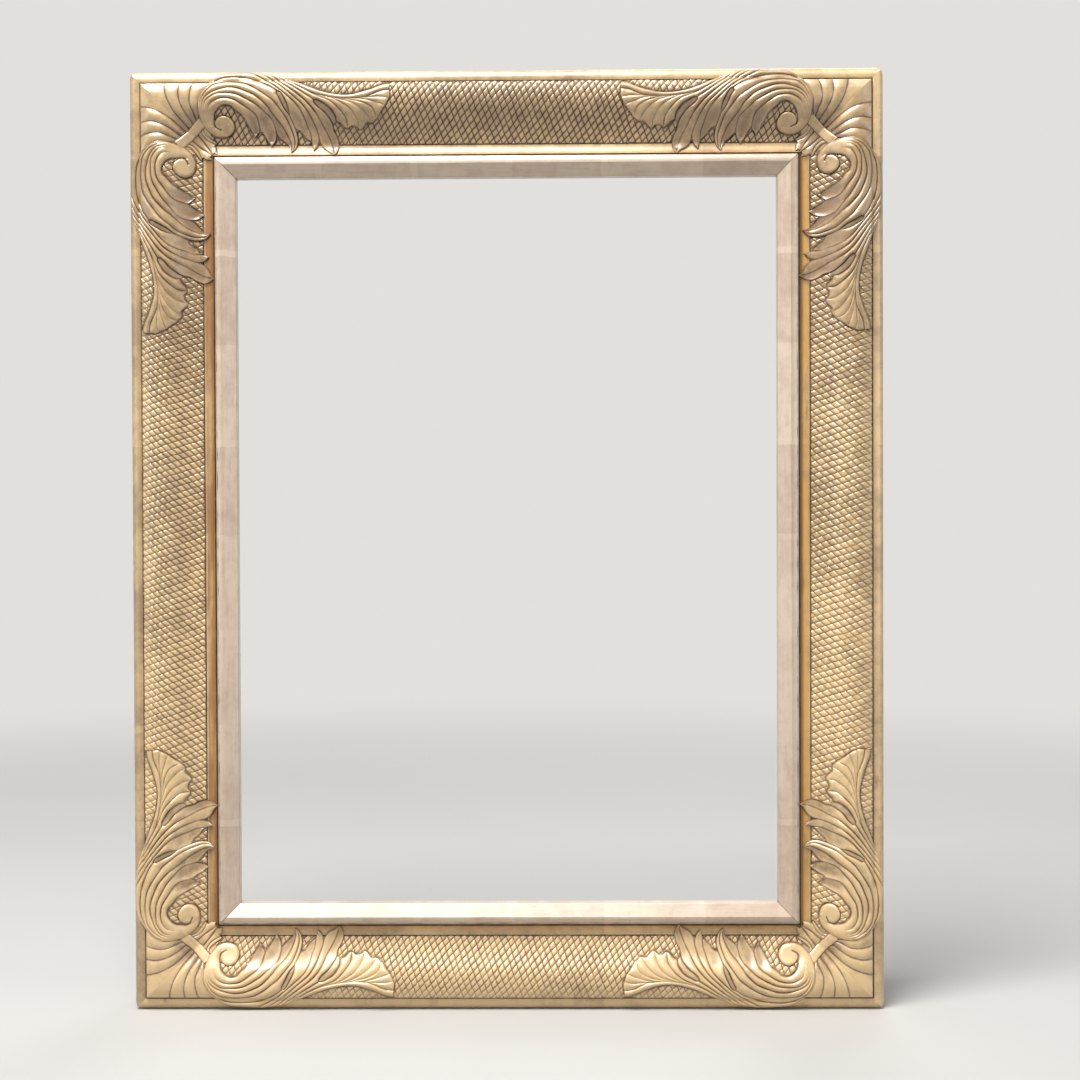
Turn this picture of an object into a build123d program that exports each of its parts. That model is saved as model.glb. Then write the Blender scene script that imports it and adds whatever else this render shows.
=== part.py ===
from build123d import *
import math
import os

os.makedirs("parts", exist_ok=True)

# All lengths are in millimetres. The frame stands upright and faces -Y, with +X to the right
# and +Z up. The origin is at the centre of its flat back, which is the wall side. Heights are
# measured forward from the back, and insets inward from the outer edge.

# Opening that the picture is seen through
sight_width = 444.0
sight_height = 597.0

# Widths across a rail, from the outer edge inward
fillet_width = 9.0
groove_width = 1.4
band_width = 48.1
cove_width = 9.7
strip_width = 17.4
picture_lap = 8.0

# Heights of a rail's front, stated by their drop from the band's crest or their rise in the cove
crest_height = 42.0
crest_inset = 20.3
side_drop = 10.2
fillet_drop = 4.0
groove_depth = 1.4
shoulder_drop = 2.0
ogee_inset = 38.0
ogee_drop = 5.1
valley_drop = 14.0
cove_rise = 5.6
corner_radius = 8.0
back_bevel = 1.5

# Rebate behind the sight strip, and the strip's own section
rebate_depth = 19.0
strip_heel = 1.0
strip_step = 1.2
strip_ridge_inset = 7.0
strip_ridge_rise = 2.5
bevel_drop = 6.0
sight_round = 1.0

# Carved leaf: its margin from the outer edge, its start from the corner and its reach
leaf_margin = 1.8
leaf_start = 57.7
leaf_length = 156.1
leaf_thickness = 3.2
tip_gap = 0.3

# Fan, ribbon and darts of a corner
fan_thickness = 1.4
ribbon_distance = 71.3
ribbon_width = 8.4
ribbon_length = 31.0
ribbon_thickness = 3.0
dart_thickness = 1.8

# Bow-tie key let into the back across a mitre
key_distance = 64.0
key_length = 40.0
key_end_width = 18.0
key_waist_width = 9.0
key_thickness = 5.0
key_clearance = 0.05

# Screws
screw_radius = 1.5
screw_head_radius = 3.2
screw_head_height = 1.8
screw_head_round = 0.6
screw_length = 14.0
screw_tip = 2.0
slot_width = 0.8
slot_depth = 0.7
pilot_clearance = 0.05

# Turn buttons on the back
button_length = 44.0
button_width = 12.0
button_thickness = 1.3
button_gap = 0.1
button_hole_clearance = 0.1
button_round = 0.4
button_edge = 11.0
side_button_rise = 215.0

# Hangers on the side rails
hanger_rise = 150.0
hanger_inset = 40.0
strap_width = 11.0
strap_length = 52.0
strap_thickness = 1.2
strap_screw_pitch = 14.0
ring_wire_radius = 1.5
ring_inner_width = 16.0
ring_reach = 20.0
ring_bend_radius = 3.0
ring_lift = 0.7
knuckle_clearance = 0.15

# Wall bumpers
bumper_radius = 6.0
bumper_height = 3.0
bumper_round = 0.8
bumper_inset = 22.0

# How far every cut runs past what it cuts
cut_overrun = 1.0

# Sizes and places that follow
band_inset = fillet_width + groove_width
valley_inset = band_inset + band_width
quirk_inset = valley_inset + cove_width
rail_width = quirk_inset + strip_width
rebate_inset = rail_width - picture_lap
outer_width = sight_width + 2 * rail_width
outer_height = sight_height + 2 * rail_width
side_height = crest_height - side_drop
fillet_height = crest_height - fillet_drop
shoulder_height = crest_height - shoulder_drop
ogee_height = crest_height - ogee_drop
valley_height = crest_height - valley_drop
cove_height = valley_height + cove_rise
seat_height = rebate_depth + strip_heel
strip_outer_height = cove_height - strip_step
ridge_inset = quirk_inset + strip_ridge_inset
ridge_height = strip_outer_height + strip_ridge_rise
sight_edge_height = ridge_height - bevel_drop
leaf_spread = quirk_inset - leaf_margin - tip_gap
ornament_depth = crest_height + leaf_thickness + cut_overrun
ring_axis = strap_thickness + ring_lift + ring_wire_radius
knuckle_bore = ring_wire_radius + knuckle_clearance
knuckle_radius = knuckle_bore + strap_thickness
button_hole_radius = screw_radius + button_hole_clearance
button_head_level = button_thickness + 2 * button_gap

# Each side is drawn as a section: x runs inward from the outer edge, y forward from the back,
# and the normal runs along the side.
side_planes = {
    "bottom": Plane(origin=(0, 0, -outer_height / 2), x_dir=(0, 0, 1), z_dir=(1, 0, 0)),
    "top": Plane(origin=(0, 0, outer_height / 2), x_dir=(0, 0, -1), z_dir=(-1, 0, 0)),
    "left": Plane(origin=(-outer_width / 2, 0, 0), x_dir=(1, 0, 0), z_dir=(0, 0, -1)),
    "right": Plane(origin=(outer_width / 2, 0, 0), x_dir=(-1, 0, 0), z_dir=(0, 0, 1)),
}
half_lengths = {
    "bottom": outer_width / 2,
    "top": outer_width / 2,
    "left": outer_height / 2,
    "right": outer_height / 2,
}

# Each corner has a plane on the back whose x runs from the corner along its top or bottom rail,
# and whose y runs along its side rail. The signs say where the corner lies in X and in Z.
corner_signs = {
    "top_left": (-1, 1),
    "top_right": (1, 1),
    "bottom_left": (-1, -1),
    "bottom_right": (1, -1),
}


def corner_plane(corner):
    right, up = corner_signs[corner]
    origin = (right * outer_width / 2, 0, up * outer_height / 2)
    return Plane(origin=origin, x_dir=(-right, 0, 0), z_dir=(0, -right * up, 0))


def corner_sides(corner):
    """The rail along the corner plane's x, then the rail along its y."""
    return corner.split("_")


def mitre_planes(side):
    """The two planes that end a side at its mitres, both facing away from the side."""
    plane = side_planes[side]
    reach = plane.z_dir * half_lengths[side]
    return [
        Plane(origin=plane.origin + reach, z_dir=plane.x_dir + plane.z_dir),
        Plane(origin=plane.origin - reach, z_dir=plane.x_dir - plane.z_dir),
    ]


# Sections of the rail, of the carving on it and of the sight strip


def front_lines(lift, grooved):
    """The front from the outer edge to the quirk, raised by lift."""
    TangentArc((0, side_height + lift), (fillet_width, fillet_height + lift), tangent=(0, 1))
    if grooved:
        groove_middle = fillet_width + groove_width / 2
        groove_height = min(fillet_height, shoulder_height) - groove_depth
        Line((fillet_width, fillet_height + lift), (groove_middle, groove_height + lift))
        Line((groove_middle, groove_height + lift), (band_inset, shoulder_height + lift))
    else:
        Line((fillet_width, fillet_height + lift), (band_inset, shoulder_height + lift))
    swell = ThreePointArc(
        (band_inset, shoulder_height + lift),
        (crest_inset, crest_height + lift),
        (ogee_inset, ogee_height + lift),
    )
    TangentArc(
        (ogee_inset, ogee_height + lift), (valley_inset, valley_height + lift), tangent=swell % 1
    )
    TangentArc(
        (valley_inset, valley_height + lift), (quirk_inset, cove_height + lift), tangent=(1, 0)
    )


def rail_lines():
    """The rail's section: front, seat of the sight strip, rebate wall, back and outer side."""
    front_lines(0, True)
    Polyline(
        (quirk_inset, cove_height),
        (quirk_inset, seat_height),
        (rebate_inset, seat_height),
        (rebate_inset, 0),
        (back_bevel, 0),
        (0, back_bevel),
        (0, side_height),
    )


def carving_lines(thickness):
    """A layer of even thickness that lies on the rail's front."""
    front_lines(0, True)
    Line((quirk_inset, cove_height), (quirk_inset, cove_height + thickness))
    front_lines(thickness, False)
    Line((0, side_height + thickness), (0, side_height))


def strip_lines():
    """The sight strip: a rounded back slope, a ridge, a flat bevel, and a heel over the rebate."""
    ridge_middle = quirk_inset + strip_ridge_inset / 2
    crown_share = 0.8
    ThreePointArc(
        (quirk_inset, strip_outer_height),
        (ridge_middle, strip_outer_height + crown_share * strip_ridge_rise),
        (ridge_inset, ridge_height),
    )
    FilletPolyline(
        (ridge_inset, ridge_height),
        (rail_width, sight_edge_height),
        (rail_width, rebate_depth),
        (rebate_inset, rebate_depth),
        radius=[sight_round, 0],
    )
    Polyline(
        (rebate_inset, rebate_depth),
        (rebate_inset, seat_height),
        (quirk_inset, seat_height),
        (quirk_inset, strip_outer_height),
    )


# Outlines of the carving, seen from the front. A leaf's points are shares of its length from its
# start, and of its spread from its margin.

scroll_back_shares = [
    (0.129, 0.772),
    (0.047, 0.725),
    (0.0, 0.505),
    (0.019, 0.23),
    (0.095, 0.061),
    (0.22, 0.0),
    (0.365, 0.018),
    (0.533, 0.136),
    (0.646, 0.242),
    (0.754, 0.287),
    (0.867, 0.247),
    (0.995, 0.136),
]
tail_end_shares = [(0.995, 0.136), (1.0, 0.269), (0.976, 0.43), (0.928, 0.572), (0.907, 0.61)]
tail_scallop_shares = [
    [(0.907, 0.61), (0.88, 0.655), (0.835, 0.684), (0.823, 0.655)],
    [(0.823, 0.655), (0.79, 0.676), (0.745, 0.64), (0.73, 0.6), (0.704, 0.71)],
]
third_lobe_shares = [
    [(0.704, 0.71), (0.722, 0.787), (0.73, 0.862), (0.722, 0.948), (0.706, 1.0)],
    [(0.706, 1.0), (0.67, 0.955), (0.634, 0.89), (0.623, 0.794)],
]
second_lobe_shares = [
    [(0.623, 0.794), (0.618, 0.86), (0.593, 0.935)],
    [(0.593, 0.935), (0.584, 0.85), (0.555, 0.775), (0.517, 0.678)],
]
finger_shares = [
    [(0.517, 0.678), (0.509, 0.8), (0.498, 0.905), (0.473, 0.951)],
    [(0.473, 0.951), (0.449, 0.847), (0.403, 0.732)],
    [(0.403, 0.732), (0.396, 0.82), (0.373, 0.865)],
    [(0.373, 0.865), (0.34, 0.76), (0.315, 0.664)],
    [(0.315, 0.664), (0.306, 0.722), (0.286, 0.758)],
]
scroll_inner_shares = [
    (0.286, 0.758),
    (0.26, 0.663),
    (0.216, 0.501),
    (0.143, 0.399),
    (0.087, 0.507),
    (0.079, 0.602),
]
eye_shares = [(0.079, 0.602), (0.182, 0.646), (0.129, 0.772)]


def leaf_point(share, along_side):
    """A point of a leaf in the corner plane, for the leaf on the side rail or the other one."""
    along = leaf_start + share[0] * leaf_length
    inward = leaf_margin + share[1] * leaf_spread
    return (inward, along) if along_side else (along, inward)


def leaf_lines(along_side):
    """A leaf's outline: the scroll's back, the tail, the lobes, the fingers and the eye."""
    bends = [scroll_back_shares, tail_end_shares]
    bends += tail_scallop_shares + third_lobe_shares + second_lobe_shares + finger_shares
    bends.append(scroll_inner_shares)
    for bend in bends:
        Spline(*[leaf_point(share, along_side) for share in bend])
    ThreePointArc(*[leaf_point(share, along_side) for share in eye_shares])


def ribbon_point(outward, sideways):
    """A point measured from the ribbon's middle, outward to the corner and sideways of it."""
    middle = ribbon_distance / math.sqrt(2)
    outward_part = outward / math.sqrt(2)
    sideways_part = sideways / math.sqrt(2)
    return (middle - outward_part + sideways_part, middle - outward_part - sideways_part)


def mirrored(points):
    """The points with their copies on the other side of the mitre, in reverse order."""
    return points + [(y, x) for x, y in reversed(points)]


fan_side_shares = [(0.09, 0.106), (0.03, 0.31), (0.025, 0.5)]


def fan_lines():
    """The fan between the two scrolls, from the grooves to the ribbon."""
    points = [leaf_point(share, False) for share in fan_side_shares]
    points[0] = (points[0][0], band_inset)
    points.append(ribbon_point(ribbon_width / 2, ribbon_length / 2))
    Polyline((band_inset, band_inset), *mirrored(points), close=True)


def ribbon_lines():
    """The ribbon's strip across the mitre."""
    ends = [
        ribbon_point(ribbon_width / 2, ribbon_length / 2),
        ribbon_point(-ribbon_width / 2, ribbon_length / 2),
    ]
    Polyline(*mirrored(ends), close=True)


# Shares of the distance from the outer edge to the quirk
dart_shares = [(1.004, 0.74), (1.03, 0.8), (0.999, 0.868), (1.045, 0.975), (0.985, 0.94), (0.992, 0.992)]


def dart_lines():
    """The darts, from the ribbon to the inner corner."""
    points = [ribbon_point(-ribbon_width / 2, ribbon_length / 2)]
    points += [(x * quirk_inset, y * quirk_inset) for x, y in dart_shares]
    outline = mirrored(points[:-1])
    outline.insert(len(points) - 1, (points[-1][0], points[-1][1]))
    Polyline(*outline, close=True)


# Rails and sight strips


def pilot_places(side):
    """The places of the screws that enter a side, as X and Z."""
    found = []
    for at, holding_side in buttons.values():
        if holding_side == side:
            found.append(at)
    if side in hangers:
        found += strap_screw_places(hangers[side])
    return found


def strap_screw_places(at):
    """The two screws of a hanger strap, below the ring's reach."""
    first = ring_reach + ring_wire_radius + screw_head_radius
    return [(at[0], at[1] - first), (at[0], at[1] - first - strap_screw_pitch)]


def button_places():
    """Each turn button's pivot, and the side that holds it."""
    across = outer_width / 2 - rebate_inset + button_edge
    upward = outer_height / 2 - rebate_inset + button_edge
    return {
        "top": ((0, upward), "top"),
        "bottom": ((0, -upward), "bottom"),
        "upper_left": ((-across, side_button_rise), "left"),
        "lower_left": ((-across, -side_button_rise), "left"),
        "upper_right": ((across, side_button_rise), "right"),
        "lower_right": ((across, -side_button_rise), "right"),
    }


buttons = button_places()
hanger_x = outer_width / 2 - hanger_inset
hangers = {"left": (-hanger_x, hanger_rise), "right": (hanger_x, hanger_rise)}


def key_plane(corner):
    """A plane on the back at a corner's key, with x across the mitre."""
    right, up = corner_signs[corner]
    along = key_distance / math.sqrt(2)
    origin = (right * (outer_width / 2 - along), 0, up * (outer_height / 2 - along))
    return Plane(origin=origin, x_dir=(-right, 0, up), z_dir=(0, -1, 0))


def key_lines(clearance):
    """A bow tie: wide at both ends and narrow at its waist."""
    end = key_length / 2 + clearance
    wide = key_end_width / 2 + clearance
    waist = key_waist_width / 2 + clearance
    Polyline(
        (-end, -wide), (0, -waist), (end, -wide), (end, wide), (0, waist), (-end, wide), close=True
    )


def rail(side):
    """One mitred rail, with its key pockets and screw holes."""
    with BuildPart() as piece:
        with BuildSketch(side_planes[side]):
            with BuildLine():
                rail_lines()
            make_face()
        extrude(amount=half_lengths[side], both=True)
        for mitre in mitre_planes(side):
            split(bisect_by=mitre, keep=Keep.BOTTOM)
        with BuildSketch(Plane.XZ):
            RectangleRounded(outer_width, outer_height, corner_radius)
        extrude(amount=crest_height + cut_overrun, mode=Mode.INTERSECT)
        for corner in corner_signs:
            if side in corner_sides(corner):
                with BuildSketch(key_plane(corner)):
                    with BuildLine():
                        key_lines(key_clearance)
                    make_face()
                extrude(amount=key_thickness, mode=Mode.SUBTRACT)
        with BuildSketch(Plane.XZ):
            with Locations(*[Location(at) for at in pilot_places(side)]):
                Circle(screw_radius + pilot_clearance)
        extrude(amount=screw_length, mode=Mode.SUBTRACT)
    return piece


def sight_strip(side):
    """One mitred length of the sight moulding."""
    with BuildPart() as piece:
        with BuildSketch(side_planes[side]):
            with BuildLine():
                strip_lines()
            make_face()
        extrude(amount=half_lengths[side], both=True)
        for mitre in mitre_planes(side):
            split(bisect_by=mitre, keep=Keep.BOTTOM)
    return piece


# Carving


def leaf(corner, along_side):
    """A scroll leaf: its outline where it meets a layer on the rail's front."""
    side = corner_sides(corner)[1 if along_side else 0]
    with BuildPart() as piece:
        with BuildSketch(corner_plane(corner)):
            with BuildLine():
                leaf_lines(along_side)
            make_face()
        extrude(amount=ornament_depth, both=True)
        with BuildSketch(side_planes[side]):
            with BuildLine():
                carving_lines(leaf_thickness)
            make_face()
        extrude(amount=half_lengths[side], both=True, mode=Mode.INTERSECT)
    return piece


def corner_half(corner, side, outline, thickness):
    """The part of a corner's carving that lies on one rail, up to the mitre."""
    with BuildPart() as half:
        with BuildSketch(corner_plane(corner)):
            with BuildLine():
                outline()
            make_face()
            for along_side in (False, True):
                with BuildLine():
                    leaf_lines(along_side)
                make_face(mode=Mode.SUBTRACT)
        extrude(amount=ornament_depth, both=True)
        with BuildSketch(side_planes[side]):
            with BuildLine():
                carving_lines(thickness)
            make_face()
        extrude(amount=half_lengths[side], both=True, mode=Mode.INTERSECT)
        for mitre in mitre_planes(side):
            split(bisect_by=mitre, keep=Keep.BOTTOM)
    return half


def corner_carving(corner, outline, thickness):
    """A piece that crosses the mitre, as one solid from its two halves."""
    halves = [corner_half(corner, side, outline, thickness) for side in corner_sides(corner)]
    with BuildPart() as piece:
        for half in halves:
            add(half.part)
    return piece


# Fittings on the back


def corner_key(corner):
    """The bow-tie key, flush with the back."""
    with BuildPart() as piece:
        with BuildSketch(key_plane(corner)):
            with BuildLine():
                key_lines(0)
            make_face()
        extrude(amount=key_thickness)
    return piece


def screws(places, head_level):
    """Slotted screws at the places, with their heads on the given level behind the back."""
    shank_end = -screw_length
    head_top = head_level + screw_head_height
    with BuildPart() as group:
        for across, upward in places:
            with BuildSketch(Plane(origin=(across, 0, upward), x_dir=(1, 0, 0), z_dir=(0, 0, 1))):
                with BuildLine():
                    Polyline(
                        (0, head_top),
                        (0, shank_end),
                        (screw_radius / 2, shank_end),
                        (screw_radius, shank_end + screw_tip),
                        (screw_radius, head_level),
                        (screw_head_radius, head_level),
                        (screw_head_radius, head_top - screw_head_round),
                    )
                    Spline(
                        (screw_head_radius, head_top - screw_head_round),
                        (0, head_top),
                        tangents=[(0, 1), (-1, 0)],
                    )
                make_face()
            revolve(axis=Axis((across, 0, upward), (0, 1, 0)))
        with BuildSketch(Plane.XZ.offset(-head_top - cut_overrun)):
            with Locations(*[Location(at) for at in places]):
                Rectangle(2 * screw_head_radius + cut_overrun, slot_width)
        extrude(amount=slot_depth + cut_overrun, mode=Mode.SUBTRACT)
    return group


def turn_button(name):
    """An oblong plate that turns on a screw near one end, stored along its rail."""
    at, side = buttons[name]
    along = side_planes[side].z_dir
    toward_middle = 1 if at[1] * along.Z <= 0 else -1
    pivot_shift = (button_length - button_width) / 2
    plane = Plane(
        origin=(at[0], button_gap, at[1]), x_dir=along * toward_middle, z_dir=(0, 1, 0)
    )
    with BuildPart() as piece:
        with BuildSketch(plane):
            with Locations((pivot_shift, 0)):
                SlotOverall(button_length, button_width)
            Circle(button_hole_radius, mode=Mode.SUBTRACT)
        extrude(amount=button_thickness)
        chamfer(piece.faces().sort_by(Axis.Y)[-1].outer_wire().edges(), button_round)
    return piece


def hanger_strap(at):
    """A strap that is curled round the ring's bar at its top."""
    middle_drop = strap_length / 2
    with BuildPart() as piece:
        with BuildSketch(Plane(origin=(at[0], 0, at[1]), x_dir=(1, 0, 0), z_dir=(0, 1, 0))):
            with Locations((0, middle_drop)):
                SlotOverall(strap_length + strap_width, strap_width, rotation=90)
            with Locations((0, -strap_width / 2)):
                Rectangle(2 * strap_width, strap_width, mode=Mode.SUBTRACT)
            with Locations(*[(0, at[1] - z) for x, z in strap_screw_places(at)]):
                Circle(screw_radius, mode=Mode.SUBTRACT)
        extrude(amount=strap_thickness)
        with BuildSketch(Plane(origin=(at[0], ring_axis, at[1]), x_dir=(0, 1, 0), z_dir=(1, 0, 0))):
            Circle(knuckle_radius)
        extrude(amount=strap_width / 2, both=True)
        with BuildSketch(Plane(origin=(at[0], ring_axis, at[1]), x_dir=(0, 1, 0), z_dir=(1, 0, 0))):
            Circle(knuckle_bore)
        extrude(amount=strap_width / 2 + cut_overrun, both=True, mode=Mode.SUBTRACT)
    return piece


def hanger_ring(at):
    """A D-ring of round wire that hangs from the strap's knuckle."""
    half_width = ring_inner_width / 2 + ring_wire_radius
    plane = Plane(origin=(at[0], ring_axis, at[1]), x_dir=(1, 0, 0), z_dir=(0, -1, 0))
    leg = ring_reach - half_width
    with BuildPart() as piece:
        with BuildLine(plane) as path:
            FilletPolyline((0, 0), (half_width, 0), (half_width, -leg), radius=ring_bend_radius)
            RadiusArc((half_width, -leg), (-half_width, -leg), half_width)
            FilletPolyline((-half_width, -leg), (-half_width, 0), (0, 0), radius=ring_bend_radius)
        with BuildSketch(Plane(origin=path.line @ 0, z_dir=path.line % 0)):
            Circle(ring_wire_radius)
        sweep(path=path.line)
    return piece


def wall_bumper(right):
    """A round pad at a lower corner that keeps the back off the wall."""
    place = (right * (outer_width / 2 - bumper_inset), 0, -outer_height / 2 + bumper_inset)
    with BuildPart() as piece:
        with BuildSketch(Plane(origin=place, x_dir=(1, 0, 0), z_dir=(0, 1, 0))):
            Circle(bumper_radius)
        extrude(amount=bumper_height)
        fillet(piece.faces().sort_by(Axis.Y)[-1].edges(), bumper_round)
    return piece


def keep(piece, name):
    """Label a finished piece and write it."""
    piece.part.label = name
    export_step(piece.part, f"parts/{name}.step")


for side in side_planes:
    keep(rail(side), f"rail_{side}")
    keep(sight_strip(side), f"sight_strip_{side}")

for corner in corner_signs:
    upper, across = corner_sides(corner)
    keep(leaf(corner, False), f"leaf_{corner}_on_{upper}_rail")
    keep(leaf(corner, True), f"leaf_{corner}_on_{across}_rail")
    keep(corner_carving(corner, fan_lines, fan_thickness), f"fan_{corner}")
    keep(corner_carving(corner, ribbon_lines, ribbon_thickness), f"ribbon_{corner}")
    keep(corner_carving(corner, dart_lines, dart_thickness), f"darts_{corner}")
    keep(corner_key(corner), f"corner_key_{corner}")

for name in buttons:
    keep(turn_button(name), f"turn_button_{name}")
keep(screws([at for at, side in buttons.values()], button_head_level), "turn_button_screws")

for name, at in hangers.items():
    keep(hanger_strap(at), f"hanger_strap_{name}")
    keep(hanger_ring(at), f"hanger_ring_{name}")
    keep(screws(strap_screw_places(at), strap_thickness), f"hanger_screws_{name}")

for name, right in (("left", -1), ("right", 1)):
    keep(wall_bumper(right), f"wall_bumper_{name}")
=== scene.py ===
import math
from functools import reduce

import bmesh
import bpy
import numpy as np
from bpy.props import FloatProperty, FloatVectorProperty, IntProperty, PointerProperty
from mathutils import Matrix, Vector
from mathutils.bvhtree import BVHTree

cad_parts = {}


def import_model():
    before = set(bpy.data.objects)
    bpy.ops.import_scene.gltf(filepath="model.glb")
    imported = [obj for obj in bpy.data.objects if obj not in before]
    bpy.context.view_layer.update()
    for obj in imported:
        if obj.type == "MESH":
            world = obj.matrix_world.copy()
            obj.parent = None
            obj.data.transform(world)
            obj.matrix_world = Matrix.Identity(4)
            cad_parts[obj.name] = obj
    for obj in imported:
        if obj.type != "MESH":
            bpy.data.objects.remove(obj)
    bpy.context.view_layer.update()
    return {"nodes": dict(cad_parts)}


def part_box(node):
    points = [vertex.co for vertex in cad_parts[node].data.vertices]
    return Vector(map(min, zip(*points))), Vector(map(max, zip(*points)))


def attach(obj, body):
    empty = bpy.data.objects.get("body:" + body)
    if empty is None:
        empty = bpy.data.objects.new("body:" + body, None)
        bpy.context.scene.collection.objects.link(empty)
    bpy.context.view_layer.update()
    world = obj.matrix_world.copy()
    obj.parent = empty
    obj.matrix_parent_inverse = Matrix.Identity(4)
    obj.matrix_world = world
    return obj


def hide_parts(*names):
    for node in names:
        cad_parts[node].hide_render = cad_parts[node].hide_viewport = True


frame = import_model()

bl_info = {
    "name": "Gilded Frame",
    "version": (1, 0, 0),
    "blender": (4, 5, 0),
    "location": "3D View > Sidebar > Gilded Frame",
    "description": "Carves, hatches and gilds a picture frame around its joinery",
    "category": "Object",
}

# Places on a rail are in millimetres: along it from the corner, inward from its outer edge, and
# relief forward from the rail's front.
MM = 0.001
half_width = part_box("rail_right")[1].x
half_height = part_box("rail_top")[1].z
sides = ("bottom", "left", "top", "right")
corners = {"top_left": (-1, 1), "top_right": (1, 1), "bottom_left": (-1, -1), "bottom_right": (1, -1)}

# Insets of the rail's lines
groove_start, groove_end = 9.0, 10.4
valley_inset = 58.5
cove_start, cove_end = 59.2, 67.5
quirk_inset = 68.2
strip_line_inset = quirk_inset + 1.9
hatch_clearance = 66.0

# Heights over the rail's back up to which the outer side is ochre and the rebate is bare wood
ochre_height, bare_height = 31.0, 20.0

# Tone of the carving at the foot of the frame and at its top, which lie this far below and above the middle
# in metres, as painted light and shade: lighter at the foot, darker at the top; and how metallic the leaf
# looks
height_shade_range, height_shade_reach = (-0.42, 0.36), 0.36
leaf_shine = 0.2

# Where each lamp stands, how wide it is and which setting holds its power
lamps = {
    "key_light": ((-0.55, -1.05, 2.35), 1.4, "key_power"),
    "left_light": ((-2.4, -1.6, 0.3), 1.8, "left_power"),
    "right_light": ((2.4, -1.6, 0.3), 1.8, "right_power"),
    "back_light": ((0.8, 2.4, 1.8), 1.6, "back_power"),
}
sky_colour = (0.93, 0.95, 1.0, 1.0)

# Place, turn in degrees and focal length of the camera
camera_place, camera_turn, camera_lens = (0.0468, -1.5278, 0.0214), (89.204, 0.223, 0.758), 60.83


def paint(red, green, blue):
    """A colour given in 0 to 255 steps, as the shader wants it."""
    shares = [value / 255 for value in (red, green, blue)]
    return [s / 12.92 if s <= 0.04045 else ((s + 0.055) / 1.055) ** 2.4 for s in shares]


# Settings


def in_millimetres(name, description, millimetres):
    return FloatProperty(name=name, description=description, default=millimetres * MM, unit="LENGTH")


def in_watts(name, description, watts):
    return FloatProperty(name=name, description=description, default=watts, unit="POWER")


def as_factor(name, description, value):
    return FloatProperty(name=name, description=description, default=value, subtype="FACTOR")


def as_colour(name, description, *steps):
    return FloatVectorProperty(name=name, description=description, default=paint(*steps), subtype="COLOR")


def by_rail(name, description, values, unit="NONE"):
    """A setting with a value for each of the four rails."""
    description += ", for the bottom, left, top and right rail"
    return FloatVectorProperty(name=name, description=description, size=4, default=values, unit=unit)


class HatchingSettings(bpy.types.PropertyGroup):
    first_pitch: by_rail(
        "First pitch", "Spacing of the first cuts", (6.1 * MM, 5.8 * MM, 5.9 * MM, 6.4 * MM), "LENGTH"
    )
    second_pitch: by_rail(
        "Second pitch", "Spacing of the second cuts", (5.4 * MM, 5.3 * MM, 5.2 * MM, 5.3 * MM), "LENGTH"
    )
    first_slope: by_rail(
        "First slope", "Run of the first cuts along the rail for each step inward", (1.01, 1.0, 0.93, 0.95)
    )
    second_slope: by_rail(
        "Second slope", "Run back of the second cuts for each step inward", (0.41, 0.36, 0.40, 0.37)
    )
    cut_width: in_millimetres("Cut width", "Width of a cut at its lips", 1.15)
    cut_stain: by_rail("Cut stain", "How dark the cuts are", (0.7, 0.54, 0.95, 0.44))
    pad_height: in_millimetres("Pad height", "Height of the diamonds over the band", 0.85)
    floor_height: in_millimetres("Floor height", "Height of a cut's floor over the band", 0.1)
    wander: in_millimetres("Wander", "How far a hand-made cut strays", 0.5)
    seed: IntProperty(name="Seed", description="Picks the wander of the cuts", default=4)


class CarvingSettings(bpy.types.PropertyGroup):
    full_width: in_millimetres("Full width", "Width at which a flute reaches its full rise", 5.0)
    line_width: in_millimetres("Line width", "Reach of the dark patina from a cut line", 0.55)
    glaze_reach: in_millimetres("Glaze reach", "Reach of the softer brown glaze from a cut line", 1.1)
    eye_radius: in_millimetres("Eye radius", "Radius of the disc in a scroll", 8.3)
    wander: in_millimetres("Wander", "How far one leaf's lines differ from the next", 0.45)


class GildingSettings(bpy.types.PropertyGroup):
    gold: as_colour("Gold", "Bright gold leaf", 236, 200, 142)
    # Toned gold also serves as painted shade, where the carving is toned darker towards the top of the frame
    toned_and_shaded_gold: as_colour("Toned gold", "Gold leaf under its toning", 160, 128, 79)
    # The left cove's gold is warmer and also darker, as painted shade
    cove_gold_and_painted_light: as_colour("Cove gold", "Warmer gold of the left cove", 160, 110, 56)
    # Painted highlight: brighter gold on the right cove, standing in for lamplight
    cove_highlight_gold: as_colour("Bright cove gold", "Cleaner gold of the right cove", 236, 182, 92)
    silver: as_colour("Silver", "Pale leaf on the sight moulding", 216, 193, 167)
    toned_silver: as_colour("Toned silver", "Pale leaf under its toning", 186, 158, 132)
    bole: as_colour("Bole", "Red clay that shows where leaf is rubbed", 150, 88, 54)
    # The glaze brown is also painted shade in the cove, in cupped hollows and in the pits
    glaze_and_shade: as_colour("Glaze", "Brown toning beside the cuts", 130, 92, 44)
    patina: as_colour("Patina", "Dark wax that stays in the cuts", 52, 34, 20)
    ochre: as_colour("Ochre", "Painted outer sides", 172, 134, 82)
    wood: as_colour("Wood", "Bare wood of the back", 190, 150, 104)
    lacquer: as_factor("Lacquer", "Strength of the clear coat", 1.0)
    lacquer_roughness: as_factor("Lacquer roughness", "How dull the coat is", 0.36)
    lacquer_index: as_factor("Lacquer index", "How strongly the coat mirrors", 2.0)
    lap: in_millimetres("Lap", "Length of one sheet of leaf along a rail", 78)


class StageSettings(bpy.types.PropertyGroup):
    backdrop: as_colour("Backdrop", "Colour behind the frame", 226, 224, 220)
    key_power: in_watts("Key power", "Lamp above and in front", 98.0)
    left_power: in_watts("Left power", "Lamp at the left", 8.5)
    right_power: in_watts("Right power", "Lamp at the right", 10.5)
    back_power: in_watts("Back power", "Lamp behind", 20.0)
    sky: as_factor("Sky", "Strength of the light from all round", 0.25)


# Curves and heights on a rail


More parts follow.
